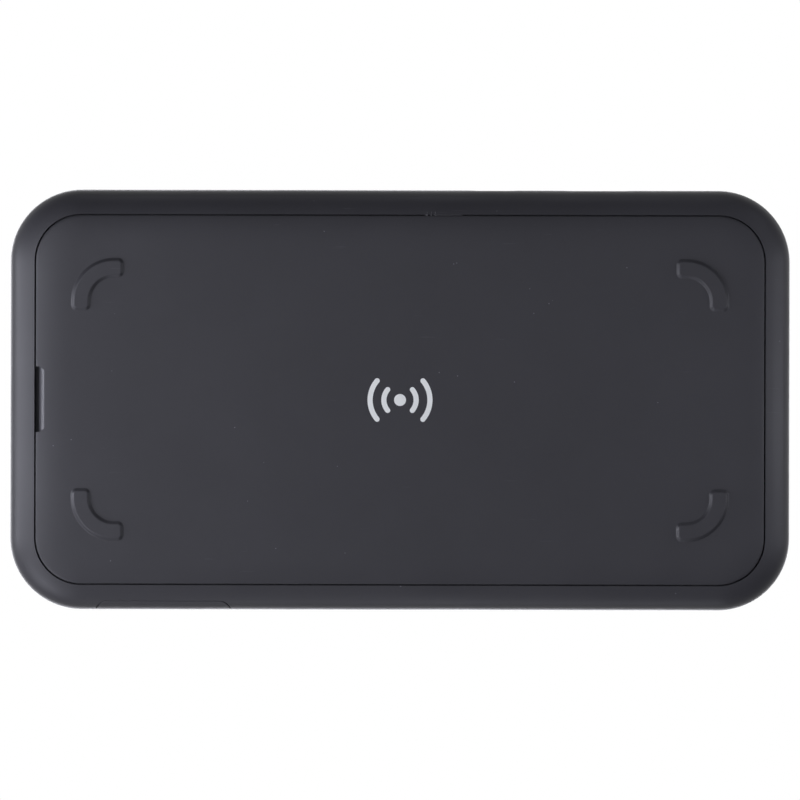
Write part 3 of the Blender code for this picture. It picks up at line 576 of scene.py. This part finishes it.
def housing_core():
    """The hollow in front of the plate, less everything that stands up into it."""
    core = plan_prism("core", device_outline(WALL), PLATE_HIGH, SPLIT_Z + 2 * MM)
    low, high = battery_box()
    gap = BAY_GAP + BAY_WALL
    corners = (low.x - gap, low.y - gap, 0.0), (high.x + gap, high.y + gap, BAY_DEPTH + MM)
    keep = [box_solid("bay_box", *corners)]
    scoop = circle(low.x + SCOOP_X, low.y + SCOOP_Y, SCOOP_RADIUS + BAY_WALL)
    keep.append(plan_prism("scoop_box", scoop, 0.0, SCOOP_DEPTH + MM))
    x0, y0, x1, y1 = sim_pocket(SIM_WALL)
    keep.append(box_solid("sim_box", (x0, y0, 0.0), (x1, y1, SIM_DEPTH + 0.8 * MM)))
    for number, (x, y) in enumerate(screw_centres()):
        keep.append(plan_prism(f"pad_{number}", circle(x, y, SCREW_PAD), 0.0, SCREW_SEAT + 1.3 * MM))
    x, y = reset_centre()
    keep.append(plan_prism("reset_tube", circle(x, y, RESET_TUBE), 0.0, RESET_TUBE_TOP))
    side = 1.6 * MM
    corners = (DOOR_LOW.x - side, -HALF_Y, 0.0), (DOOR_HIGH.x + side, PORT_WALL_Y, SPLIT_Z + 3 * MM)
    keep.append(box_solid("port_wall", *corners))
    return carve(core, keep)


def reset_centre():
    low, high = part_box("reset_button")
    return (low.x + high.x) / 2, (low.y + high.y) / 2


def sim_pocket(grow=0.0):
    """The recess round the SIM socket, with room for the card to slide out towards +X."""
    low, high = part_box("sim_socket")
    behind, beside, ahead = 0.5 * MM + grow, 1.1 * MM + grow, 9.3 * MM + grow
    return low.x - behind, low.y - beside, high.x + ahead, high.y + beside


def bay_cutters():
    low, high = battery_box()
    gap = BAY_GAP
    bay = rounded_rectangle(low.x - gap, low.y - gap, high.x + gap, high.y + gap, 1.5 * MM)
    cutters = [plan_prism("bay", bay, MM, BAY_DEPTH)]
    scoop = circle(low.x + SCOOP_X, low.y + SCOOP_Y, SCOOP_RADIUS, 60)
    cutters.append(plan_prism("scoop", scoop, MM, SCOOP_DEPTH))
    cutters.append(plan_prism("sim_recess", rounded_rectangle(*sim_pocket(), MM), MM, SIM_DEPTH))
    x, y = reset_centre()
    cutters.append(plan_prism("reset_hole", circle(x, y, RESET_HOLE, 24), MM, RESET_TUBE_TOP + 1.5 * MM))
    low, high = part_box("battery_connector")
    side = 0.4 * MM
    corners = (low.x - MM, low.y - side, 4.2 * MM), (low.x + 2.4 * MM, high.y + side, 11 * MM)
    cutters.append(box_solid("window", *corners))
    return cutters


def screw_cutters():
    """A well for each screw's head, and a hole for its shank."""
    shank_end = SCREW_SEAT + 3.3 * MM
    cutters = []
    for number, (x, y) in enumerate(screw_centres()):
        cutters.append(plan_prism(f"head_{number}", circle(x, y, SCREW_HEAD), MM, SCREW_SEAT))
        cutters.append(plan_prism(f"shank_{number}", circle(x, y, SCREW_SHANK, 24), MM, shank_end))
    return cutters


def slot_cutters():
    """Room for the cover's tongues and hooks in the rim."""
    cutters = []
    half = TONGUE_HALF + CLIP_PLAY
    for y in (-TONGUE_Y, TONGUE_Y):
        low, high = (-EDGE_X - 1.6 * MM, y - half, 1.95 * MM), (-EDGE_X + 3.3 * MM, y + half, 3.9 * MM)
        cutters.append(box_solid(f"tongue_slot_{y * 1000:.0f}", low, high))
    half, near, far = HOOK_HALF + CLIP_PLAY, 0.05 * MM, 2.1 * MM
    for x, y, along_x in hook_places():
        if along_x:
            sign = math.copysign(1.0, y)
            across = sorted((y - sign * far, y - sign * near))
            corners = (x - half, across[0], 1.5 * MM), (x + half, across[1], 4 * MM)
        else:
            corners = (x - far, y - half, 1.5 * MM), (x - near, y + half, 4 * MM)
        cutters.append(box_solid(f"hook_slot_{x * 1000:.0f}_{y * 1000:.0f}", *corners))
    return cutters


def door_outline(grow, square_top):
    """The port door's outline in XZ: rounded below, and run up past the hinge when square_top is set."""
    corner = DOOR_CORNER + grow
    top = DOOR_HIGH.z + (corner if square_top else 0.25 * MM)
    return rounded_rectangle(DOOR_LOW.x - grow, DOOR_LOW.z - grow, DOOR_HIGH.x + grow, top, corner, 12)


def door_cutters():
    """The pocket the door lies in, room for its hinge, its pin's seats, and the holes of both ports."""
    y, z = door_axis()
    outer = -HALF_Y - 2 * MM
    cutters = [side_prism("door_pocket", door_outline(DOOR_GAP, False), outer, POCKET_Y)]
    low = (DOOR_LOW.x - DOOR_GAP, outer, z - 1.25 * MM)
    high = (DOOR_HIGH.x + DOOR_GAP, POCKET_Y, DOOR_HIGH.z + 0.25 * MM)
    cutters.append(box_solid("hinge_room", low, high))
    cutters.append(rod_along_x("pin_seats", y, z, BORE_RADIUS, 20, 1.3 * MM))
    low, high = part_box("usb_c_shell")
    grow = PORT_GAP
    usb = rounded_rectangle(low.x - grow, low.z - grow, high.x + grow, high.z + grow, 1.8 * MM)
    for name, outline in (("usb_hole", usb), ("jack_hole", jack_outline(grow))):
        cutters.append(side_prism(name, outline, POCKET_Y - MM, POCKET_Y + 3 * MM))
    return cutters


def rod_along_x(name, y, z, radius, steps, past):
    """A round rod along X, as long as the port door and a little past it at both ends."""
    outline = circle(y, z, radius, steps)
    ends = DOOR_LOW.x - past, DOOR_HIGH.x + past
    return loft(name, [[(x, a, b) for a, b in outline] for x in ends])


def door_axis():
    """(y, z) of the port door's hinge, from its joint."""
    joint = next(j for j in frame["joints"] if j["name"] == "port_door_swing")
    return joint["pos_m"][1], joint["pos_m"][2]


def jack_outline(grow):
    """The Ethernet socket's mouth in XZ, with the step for the plug's latch, grown on all sides."""
    low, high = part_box("ethernet_jack")
    x0, x1 = low.x + 1.3 * MM - grow, high.x - 1.3 * MM + grow
    z0, shoulder, top = low.z + 1.2 * MM - grow, low.z + 8.0 * MM + grow, low.z + 9.6 * MM + grow / 2
    a, b = low.x + 4.2 * MM - grow, high.x - 4.2 * MM + grow
    right = [(x1, z0), (x1, shoulder), (b, shoulder), (b, top)]
    return right + [(a, top), (a, shoulder), (x0, shoulder), (x0, z0)]


def pill(name, grow):
    """The outline in XZ of a side key, grown on all sides."""
    low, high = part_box(f"{name}_button")
    x0, x1 = low.x + KEY_FLANGE_X - grow, high.x - KEY_FLANGE_X + grow
    z0, z1 = low.z + KEY_FLANGE_Z - grow, high.z - KEY_FLANGE_Z + grow
    return rounded_rectangle(x0, z0, x1, z1, (z1 - z0) / 2 - 0.01 * MM, 14)


def button_cutters():
    cutters = []
    for name in ("power", "wps"):
        cutters.append(dish_cutter(name))
        cutters.append(side_prism(f"{name}_hole", pill(name, KEY_GAP), HALF_Y - 3 * MM, HALF_Y + MM))
    return cutters


def dish_cutter(name):
    """A shallow scoop round a key, with sides that curve out to the wall."""
    levels = ((0.55, 1.2), (0.50, 1.75), (0.35, 2.25), (0.12, 2.7), (-0.12, 3.0))
    rings = [[(x, HALF_Y - depth * MM, z) for x, z in pill(name, grow * MM)] for depth, grow in levels]
    return loft(f"{name}_dish", rings)


# ---------------------------------------------------------------- front


def front_rings():
    """The front housing's outside, from the split up round its edge and down into the glass's seat."""
    low_z, steps = SPLIT_Z + SPLIT_GAP, 12
    rings = [ring(0.12 * MM, low_z), ring(0.0, low_z + 0.15 * MM)]
    for step in range(steps + 1):
        a = math.radians(90.0 * step / steps)
        rings.append(ring(FRONT_EDGE * (1.0 - math.cos(a)), TOP_Z - FRONT_EDGE * (1.0 - math.sin(a))))
    pocket = HALF_X - GLASS_HIGH.x - 0.2 * MM
    return rings + [ring(pocket - EDGE, TOP_Z), ring(pocket, TOP_Z - EDGE), ring(pocket, GLASS_SEAT)]


def make_front(material):
    shell = loft("front_shell", front_rings())
    above = TOP_Z + MM
    cutters = [plan_prism("front_core", device_outline(WALL), CORE_LOW, CORE_HIGH)]
    low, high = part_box("display_module")
    gap = 0.6 * MM
    corners = (low.x - gap, low.y - gap, 12 * MM), (high.x + gap, high.y + gap, above)
    cutters.append(box_solid("window", *corners))
    low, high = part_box("status_light_guide")
    cutters.append(plan_prism("light", circle((low.x + high.x) / 2, 0.0, 1.35 * MM), 12 * MM, above))
    carve(shell, cutters)
    bosses, pilots = [], []
    for number, (x, y) in enumerate(screw_centres()):
        bosses.append(plan_prism(f"boss_{number}", circle(x, y, BOSS_RADIUS), BOSS_LOW, BOSS_HIGH))
        pilots.append(plan_prism(f"pilot_{number}", circle(x, y, PILOT_RADIUS, 20), 4 * MM, 12 * MM))
    carve(shell, [*bosses, front_lip()], "UNION")
    carve(shell, pilots)
    dress(shell, "housing", material, ["front_housing"])


def front_lip():
    """The lip that reaches down inside the rear housing's wall, with a gap over the port door's hinge."""
    lip = plan_prism("lip", device_outline(WALL + 0.2 * MM), LIP_LOW, LIP_HIGH)
    inside = LIP_LOW - 0.4 * MM, LIP_HIGH + 0.4 * MM
    hollow = plan_prism("lip_hollow", device_outline(WALL + 1.2 * MM), *inside)
    side = 2 * MM
    corners = (DOOR_LOW.x - side, -HALF_Y, 12 * MM), (DOOR_HIGH.x + side, -30 * MM, 15.2 * MM)
    return carve(lip, [hollow, box_solid("lip_gap", *corners)])


def make_glass(material):
    inset, top = HALF_X - GLASS_HIGH.x, GLASS_HIGH.z
    rings = [ring(inset, GLASS_LOW.z), ring(inset, top - GLASS_ROUND)]
    for turn in (30.0, 60.0, 90.0):
        a = math.radians(turn)
        rings.append(ring(inset + GLASS_ROUND * (1 - math.cos(a)), top - GLASS_ROUND * (1 - math.sin(a))))
    dress(loft("glass_panel", rings), "housing", material, ["front_glass"])


# ---------------------------------------------------------------- port door and keys


def make_door(material):
    """A window cut out of the whole back's shape, with a hinge barrel along its top."""
    rings = [ring(u, back_height(u)) for u in roll_insets(ROLL_WIDTH, 0.0, ROLL_STEPS + 6)]
    door = loft("door_shell", [*rings, ring(0.0, SPLIT_Z)])
    inner_y = DOOR_HIGH.y
    y, z = door_axis()
    carve(door, [side_prism("door_window", door_outline(0.0, True), -HALF_Y - 2 * MM, inner_y)], "INTERSECT")
    corners = (DOOR_LOW.x - MM, -HALF_Y - MM, z), (DOOR_HIGH.x + MM, inner_y + MM, TOP_Z)
    carve(door, [box_solid("door_top", *corners)])
    carve(door, [rod_along_x("barrel", y, z, BARREL_RADIUS, 40, 0.0)], "UNION")
    side = 3 * MM
    recess = rounded_rectangle(DOOR_LOW.x + side, 5.9 * MM, DOOR_HIGH.x - side, 10.3 * MM, MM)
    panel = side_prism("door_panel", recess, inner_y - 0.4 * MM, inner_y + MM)
    carve(door, [rod_along_x("bore", y, z, BORE_RADIUS, 20, MM), panel])
    dress(door, "port_door", material, ["port_door"])


def make_keys(material):
    """Both side keys: a flange behind the wall and a softly crowned face."""
    for name in ("power", "wps"):
        low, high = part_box(f"{name}_button")
        levels = ((0.0, 0.0), (0.25, 0.0), (0.42, -0.06), (0.5, -0.2))
        outer = high.y - 0.5 * MM
        rings = [[(x, low.y + 0.4 * MM, z) for x, z in pill(name, 0.0)]]
        rings += [[(x, outer + out * MM, z) for x, z in pill(name, grow * MM)] for out, grow in levels]
        key = loft(f"{name}_key", rings)
        behind = low.y + 0.06 * MM  # clear of the board when the key is fully pressed
        flange = side_prism(f"{name}_flange", pill(name, KEY_FLANGE_Z), behind, low.y + MM)
        carve(key, [flange], "UNION")
        dress(key, f"{name}_button", material, [f"{name}_button"])


# ---------------------------------------------------------------- print


def arc_band(radius, sign, steps=40, cap_steps=12):
    """A bent bar with round ends, about the origin: up its outer side, and back down its inner side."""
    points = []
    for side in (1, -1):
        reach = radius + side * SIGN_WIDTH / 2
        for step in range(steps + 1):
            a = side * SIGN_HALF_ANGLE * (2 * step / steps - 1)
            points.append((reach * math.cos(a), reach * math.sin(a)))
        cap_x, cap_y = radius * math.cos(SIGN_HALF_ANGLE), side * radius * math.sin(SIGN_HALF_ANGLE)
        start = SIGN_HALF_ANGLE if side > 0 else math.pi - SIGN_HALF_ANGLE
        for step in range(1, cap_steps):
            a = start + math.pi * step / cap_steps
            points.append((cap_x + SIGN_WIDTH / 2 * math.cos(a), cap_y + SIGN_WIDTH / 2 * math.sin(a)))
    return [(sign * x, y) for x, y in points]


def make_print(material):
    """A generic sign for radio waves: a dot between two pairs of arcs, a film of ink on the cover."""
    low, high = BACK_Z - 0.02 * MM, BACK_Z + 0.05 * MM
    shapes = [circle(0.0, 0.0, SIGN_DOT, 48)]
    for radius in SIGN_ARCS:
        shapes += [arc_band(radius, sign) for sign in (-1, 1)]
    for number, outline in enumerate(shapes):
        ink = plan_prism(f"wave_sign_{number}", outline, low, high)
        dress(ink, "rear_cover", material)


# ---------------------------------------------------------------- every piece's material


def make_materials():
    made = {
        "shell": soft_touch("soft_black"),
        "cover": soft_touch("cover_black", notch_wear_and_painted_sheen=True),
        "frame": soft_touch("frame_black", (0.030, 0.030, 0.034), 0.42, 0.5),
        "ink": moulded("pale_ink", (0.93, 0.95, 0.91), 0.45, 5200.0, 0.000004, 0.02),
        "glass": glass_material(),
        "steel": sheet_metal("steel", (0.62, 0.62, 0.64)),
        "tin": sheet_metal("tin", (0.66, 0.66, 0.65), 0.38, (900.0, 900.0, 900.0)),
        "gold": sheet_metal("gold", (0.85, 0.62, 0.28), 0.25),
        "rubber": moulded("rubber", (0.022, 0.022, 0.024), 0.75, 1500.0, 0.00003),
        "port_black": moulded("port_black", (0.018, 0.018, 0.019), 0.5),
        "chip_black": moulded("chip_black", (0.028, 0.028, 0.030), 0.55, 3000.0),
        "film_amber": moulded("film_amber", (0.42, 0.18, 0.04), 0.35, 600.0, 0.00001, 0.15),
        "pad_blue": moulded("pad_blue", (0.22, 0.38, 0.52), 0.8, 900.0, 0.00003),
        "graphite": sheet_metal("graphite", (0.10, 0.10, 0.105), 0.5, (700.0, 700.0, 700.0)),
        "clear": moulded("clear", (0.75, 0.78, 0.80), 0.15, 800.0, 0.000003),
        "card": moulded("card_white", (0.72, 0.72, 0.72), 0.4, 2200.0, 0.000006, 0.02),
        "battery_label": label_material("battery_label"),
        "bay_label": label_material("bay_label"),
        "battery": moulded("battery_wrap", (0.075, 0.076, 0.082), 0.38, 500.0, 0.00001, 0.12),
        "board": board_material(),
        "screen": moulded("screen", (0.012, 0.013, 0.018), 0.12, 400.0, 0.000002),
    }
    return made


def glass_material():
    """Black-backed cover glass: the display shows as a slightly paler area, under faint finger smears."""
    g = Graph("cover_glass")
    low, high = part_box("display_module")
    x, y, _ = g.axes()
    border = 1.5 * MM
    half_x, half_y = (high.x - low.x) / 2 - border, (high.y - low.y) / 2 - border
    inside_x = g.math("LESS_THAN", g.math("ABSOLUTE", x), half_x)
    inside_y = g.math("LESS_THAN", g.math("ABSOLUTE", y), half_y)
    window = g.math("MULTIPLY", inside_x, inside_y)
    base = g.mix(window, (0.0045, 0.0045, 0.005), (0.013, 0.014, 0.017))
    smears = g.spread(g.noise(60.0, 4.0, roughness=0.65), 0.45, 0.75, 0.05, 0.16)
    wipes = g.spread(g.noise(1.0, 3.0, vector=g.stretch((35.0, 190.0, 60.0))), 0.4, 0.8, 0.0, 0.07)
    return g.finish(base, g.math("ADD", smears, wipes), Specular_IOR_Level=0.5)


def label_material(node):
    """A blank printed label: a thin frame, a grey band at one end, and faint paper grain."""
    g = Graph(f"{node}_print")
    low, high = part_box(node)
    x, y, _ = g.axes()
    middle, half = (low + high) / 2, (high - low) / 2
    from_sides = []
    for value, centre, reach in ((x, middle.x, half.x), (y, middle.y, half.y)):
        away = g.math("ABSOLUTE", g.math("SUBTRACT", value, centre))
        from_sides.append(g.math("SUBTRACT", reach, away))
    margin = g.math("MINIMUM", *from_sides)
    frame_in = g.math("GREATER_THAN", margin, 1.2 * MM)
    frame_out = g.math("LESS_THAN", margin, 1.5 * MM)
    band = g.math("GREATER_THAN", x, low.x + 1.7 * half.x)
    paper = g.spread(g.noise(1600.0, 2.0), 0.3, 0.7)
    base = g.mix(paper, (0.62, 0.62, 0.60), (0.69, 0.69, 0.67))
    base = g.mix(g.math("MULTIPLY", band, frame_in), base, (0.16, 0.17, 0.19))
    base = g.mix(g.math("MULTIPLY", frame_in, frame_out), base, (0.10, 0.10, 0.11))
    return g.finish(base, 0.55, g.bump(paper, 0.000008, 0.4))


def board_material():
    """Green solder mask over a web of tracks."""
    g = Graph("board_green")
    tracks = g.math("LESS_THAN", g.cells(420.0), 0.32)
    base = g.mix(tracks, (0.010, 0.055, 0.030), (0.020, 0.110, 0.055))
    vias = g.math("LESS_THAN", g.cells(650.0), 0.12)
    base = g.mix(vias, base, (0.45, 0.40, 0.25))
    return g.finish(base, 0.35, g.bump(tracks, 0.00003, 0.4))


def dress_cad_nodes(materials):
    """Gives every CAD node that stays its procedural material. Each label has one of its own."""
    slots = {row["node"]: row["material_slot"] for row in frame["record"]["subparts"]}
    finishes = {
        "soft_black": "shell",
        "inner_black": "port_black",
        "gloss_black": "glass",
        "card_white": "card",
        "board_green": "board",
        "battery_grey": "battery",
    }
    for name, node in frame["nodes"].items():
        own = name if slots[name] == "label_white" else slots[name]
        material = materials[finishes.get(own, own)]
        node.data.materials.clear()
        node.data.materials.append(material)


# ---------------------------------------------------------------- studio


# The studio: a bright left side, a right side at a fraction of it, and low boxes that only graze the edges.
# A softbox's share is how brightly it lights the device against the key, whatever its distance. The low
# boxes stay under the table's level, so that the glass never mirrors them. Turns are in degrees, as the
# picture shows them.
KEY_WATTS = 0.60
FAR, NEAR = 0.7, 0.15
WIDE, NARROW = 0.28, 0.14
LIGHT_TINT = (0.965, 0.975, 1.085)
LEFT, UP, RIGHT, DOWN = 0.0, 90.0, 180.0, 270.0
# (name, angle off the camera's line, turn about it, distance, size at FAR, share of the key)
SOFTBOXES = (
    ("key_high", 20.0, LEFT, FAR, WIDE, 1.1),
    ("key_low", 35.0, LEFT, FAR, WIDE, 1.0),
    ("key_corner", 60.0, LEFT - 45.0, FAR, WIDE, 3.0),
    ("key_near", 70.0, LEFT, NEAR, WIDE, 1.8),
    ("key_graze", 84.0, LEFT, FAR, NARROW, 2.0),
    ("fill_high", 20.0, RIGHT, FAR, WIDE, 0.35),
    ("fill_corner", 60.0, RIGHT - 45.0, FAR, WIDE, 0.5),
    ("fill_near", 70.0, RIGHT, NEAR, WIDE, 1.0),
    ("fill_graze", 84.0, RIGHT, FAR, NARROW, 0.6),
    ("above_graze", 80.0, UP, FAR, NARROW, 0.4),
    ("below_low", 75.0, DOWN, FAR, WIDE, 0.2),
    ("below_near", 65.0, DOWN, NEAR, WIDE, 0.3),
    ("below_graze", 84.0, DOWN, FAR, NARROW, 0.5),
)
# The sky's strength, and the heights between which it brightens
AMBIENT, SKY_SPAN = 0.9, (-0.05, 0.75)
OVERHEAD_WATTS, OVERHEAD_SIZE, OVERHEAD_DISTANCE = 9.0, 0.9, 0.9
# The floor's radius, and the distances between which it fades out
FLOOR_RADIUS, FLOOR_FADE = 0.6, (0.2, 0.5)

# How much more than the device's length the picture shows, and how far the picture is turned, in degrees
PICTURE_MARGIN, CAMERA_ROLL = 1.0275, -0.13
LENS, SENSOR = 600.0, 36.0


def make_floor():
    """A pale floor that only cameras above it see."""
    bm = bmesh.new()
    bmesh.ops.create_circle(bm, cap_ends=True, segments=96, radius=FLOOR_RADIUS)
    mesh = bpy.data.meshes.new("floor")
    bm.to_mesh(mesh)
    bm.free()
    floor = new_object("floor", mesh)
    floor.location.z = -0.02 * MM
    mesh.materials.append(floor_material())


def floor_material():
    """Pale and faintly mottled from above, clear from below, fading with distance into the backdrop."""
    material = bpy.data.materials.new("pale_floor")
    material.use_nodes = True
    tree = material.node_tree
    tree.nodes.clear()
    output = tree.nodes.new("ShaderNodeOutputMaterial")
    mixer = tree.nodes.new("ShaderNodeMixShader")
    clear = tree.nodes.new("ShaderNodeBsdfTransparent")
    pale = tree.nodes.new("ShaderNodeBsdfDiffuse")
    noise = tree.nodes.new("ShaderNodeTexNoise")
    noise.inputs["Scale"].default_value = 30.0
    tint = tree.nodes.new("ShaderNodeMix")
    tint.data_type = "RGBA"
    tint.inputs[6].default_value = (0.80, 0.80, 0.80, 1.0)
    tint.inputs[7].default_value = (0.83, 0.83, 0.83, 1.0)
    path = tree.nodes.new("ShaderNodeLightPath")
    side = tree.nodes.new("ShaderNodeNewGeometry")
    front = math_node(tree, "SUBTRACT", 1.0, side.outputs["Backfacing"])
    far = tree.nodes.new("ShaderNodeVectorMath")
    far.operation = "LENGTH"
    fade = tree.nodes.new("ShaderNodeMapRange")
    fade.interpolation_type = "SMOOTHSTEP"
    fade.inputs["From Min"].default_value = FLOOR_FADE[0]
    fade.inputs["From Max"].default_value = FLOOR_FADE[1]
    fade.inputs["To Min"].default_value = 1.0
    fade.inputs["To Max"].default_value = 0.0
    links = tree.links
    links.new(side.outputs["Position"], far.inputs[0])
    links.new(far.outputs["Value"], fade.inputs["Value"])
    seen = math_node(tree, "MULTIPLY", path.outputs["Is Camera Ray"], front)
    share = math_node(tree, "MULTIPLY", seen, fade.outputs["Result"])
    links.new(share, mixer.inputs[0])
    links.new(clear.outputs[0], mixer.inputs[1])
    links.new(noise.outputs["Fac"], tint.inputs[0])
    links.new(tint.outputs[2], pale.inputs["Color"])
    links.new(pale.outputs[0], mixer.inputs[2])
    links.new(mixer.outputs[0], output.inputs["Surface"])
    return material


def math_node(tree, operation, first, second):
    node = tree.nodes.new("ShaderNodeMath")
    node.operation = operation
    for socket, value in zip(node.inputs, (first, second)):
        if isinstance(value, bpy.types.NodeSocket):
            tree.links.new(value, socket)
        else:
            socket.default_value = value
    return node.outputs[0]


def make_world():
    """White to the camera; to everything else a soft light that comes from the upper half only."""
    world = bpy.data.worlds.new("studio")
    bpy.context.scene.world = world
    world.use_nodes = True
    tree = world.node_tree
    background = tree.nodes["Background"]
    way = tree.nodes.new("ShaderNodeTexCoord")
    height = tree.nodes.new("ShaderNodeSeparateXYZ")
    tree.links.new(way.outputs["Generated"], height.inputs[0])
    sky = tree.nodes.new("ShaderNodeMapRange")
    sky.inputs["From Min"].default_value = SKY_SPAN[0]
    sky.inputs["From Max"].default_value = SKY_SPAN[1]
    sky.inputs["To Max"].default_value = AMBIENT
    tree.links.new(height.outputs["Z"], sky.inputs["Value"])
    path = tree.nodes.new("ShaderNodeLightPath")
    level = tree.nodes.new("ShaderNodeMapRange")
    level.inputs["To Max"].default_value = 1.0
    tree.links.new(sky.outputs["Result"], level.inputs["To Min"])
    tree.links.new(path.outputs["Is Camera Ray"], level.inputs["Value"])
    tree.links.new(level.outputs["Result"], background.inputs["Strength"])
    background.inputs["Color"].default_value = (1.0, 1.0, 1.0, 1.0)


def area_light(name, off_axis, turn, distance, size, watts):
    """A square light that faces the device, at an angle off the camera's line and a turn about that line."""
    off, around = math.radians(off_axis), math.radians(turn)
    out = Vector((math.sin(off) * math.cos(around), math.sin(off) * math.sin(around), -math.cos(off)))
    light = bpy.data.lights.new(name, "AREA")
    light.shape, light.size, light.energy = "SQUARE", size, watts
    light.color = LIGHT_TINT
    made = bpy.data.objects.new(name, light)
    made.visible_camera = False
    bpy.context.scene.collection.objects.link(made)
    made.location = out * distance
    made.rotation_euler = out.to_track_quat("Z", "Y").to_euler()


def softbox(name, off_axis, turn, distance, size, share):
    """A softbox that looks as large from the device at any distance, lit by its share of the key."""
    nearness = distance / FAR
    area_light(name, off_axis, turn, distance, size * nearness, KEY_WATTS * share * nearness**2)


def make_studio():
    for light in SOFTBOXES:
        softbox(*light)
    area_light("overhead", 173.0, LEFT - 45.0, OVERHEAD_DISTANCE, OVERHEAD_SIZE, OVERHEAD_WATTS)
    make_world()
    make_floor()
    scene = bpy.context.scene
    scene.view_settings.view_transform = "Standard"
    scene.view_settings.look = "None"


def make_camera():
    """Straight on to the back, from below the feet, with +Y up in the picture."""
    data = bpy.data.cameras.new("camera")
    data.lens, data.sensor_width = LENS, SENSOR
    shown = 2 * HALF_X * PICTURE_MARGIN
    distance = shown / (SENSOR / LENS)
    camera = bpy.data.objects.new("camera", data)
    bpy.context.scene.collection.objects.link(camera)
    camera.location = (0.0, 0.0, back_height(0.0) - distance)
    camera.rotation_euler = (0.0, math.pi, math.radians(CAMERA_ROLL))
    data.clip_start, data.clip_end = 0.01, 10.0
    bpy.context.scene.camera = camera


def make_pieces():
    materials = make_materials()
    dress_cad_nodes(materials)
    make_cover(materials["cover"])
    make_rear_housing(materials["shell"])
    make_front(materials["frame"])
    make_glass(materials["glass"])
    make_door(materials["shell"])
    make_keys(materials["shell"])
    make_print(materials["ink"])


make_pieces()
make_studio()
make_camera()
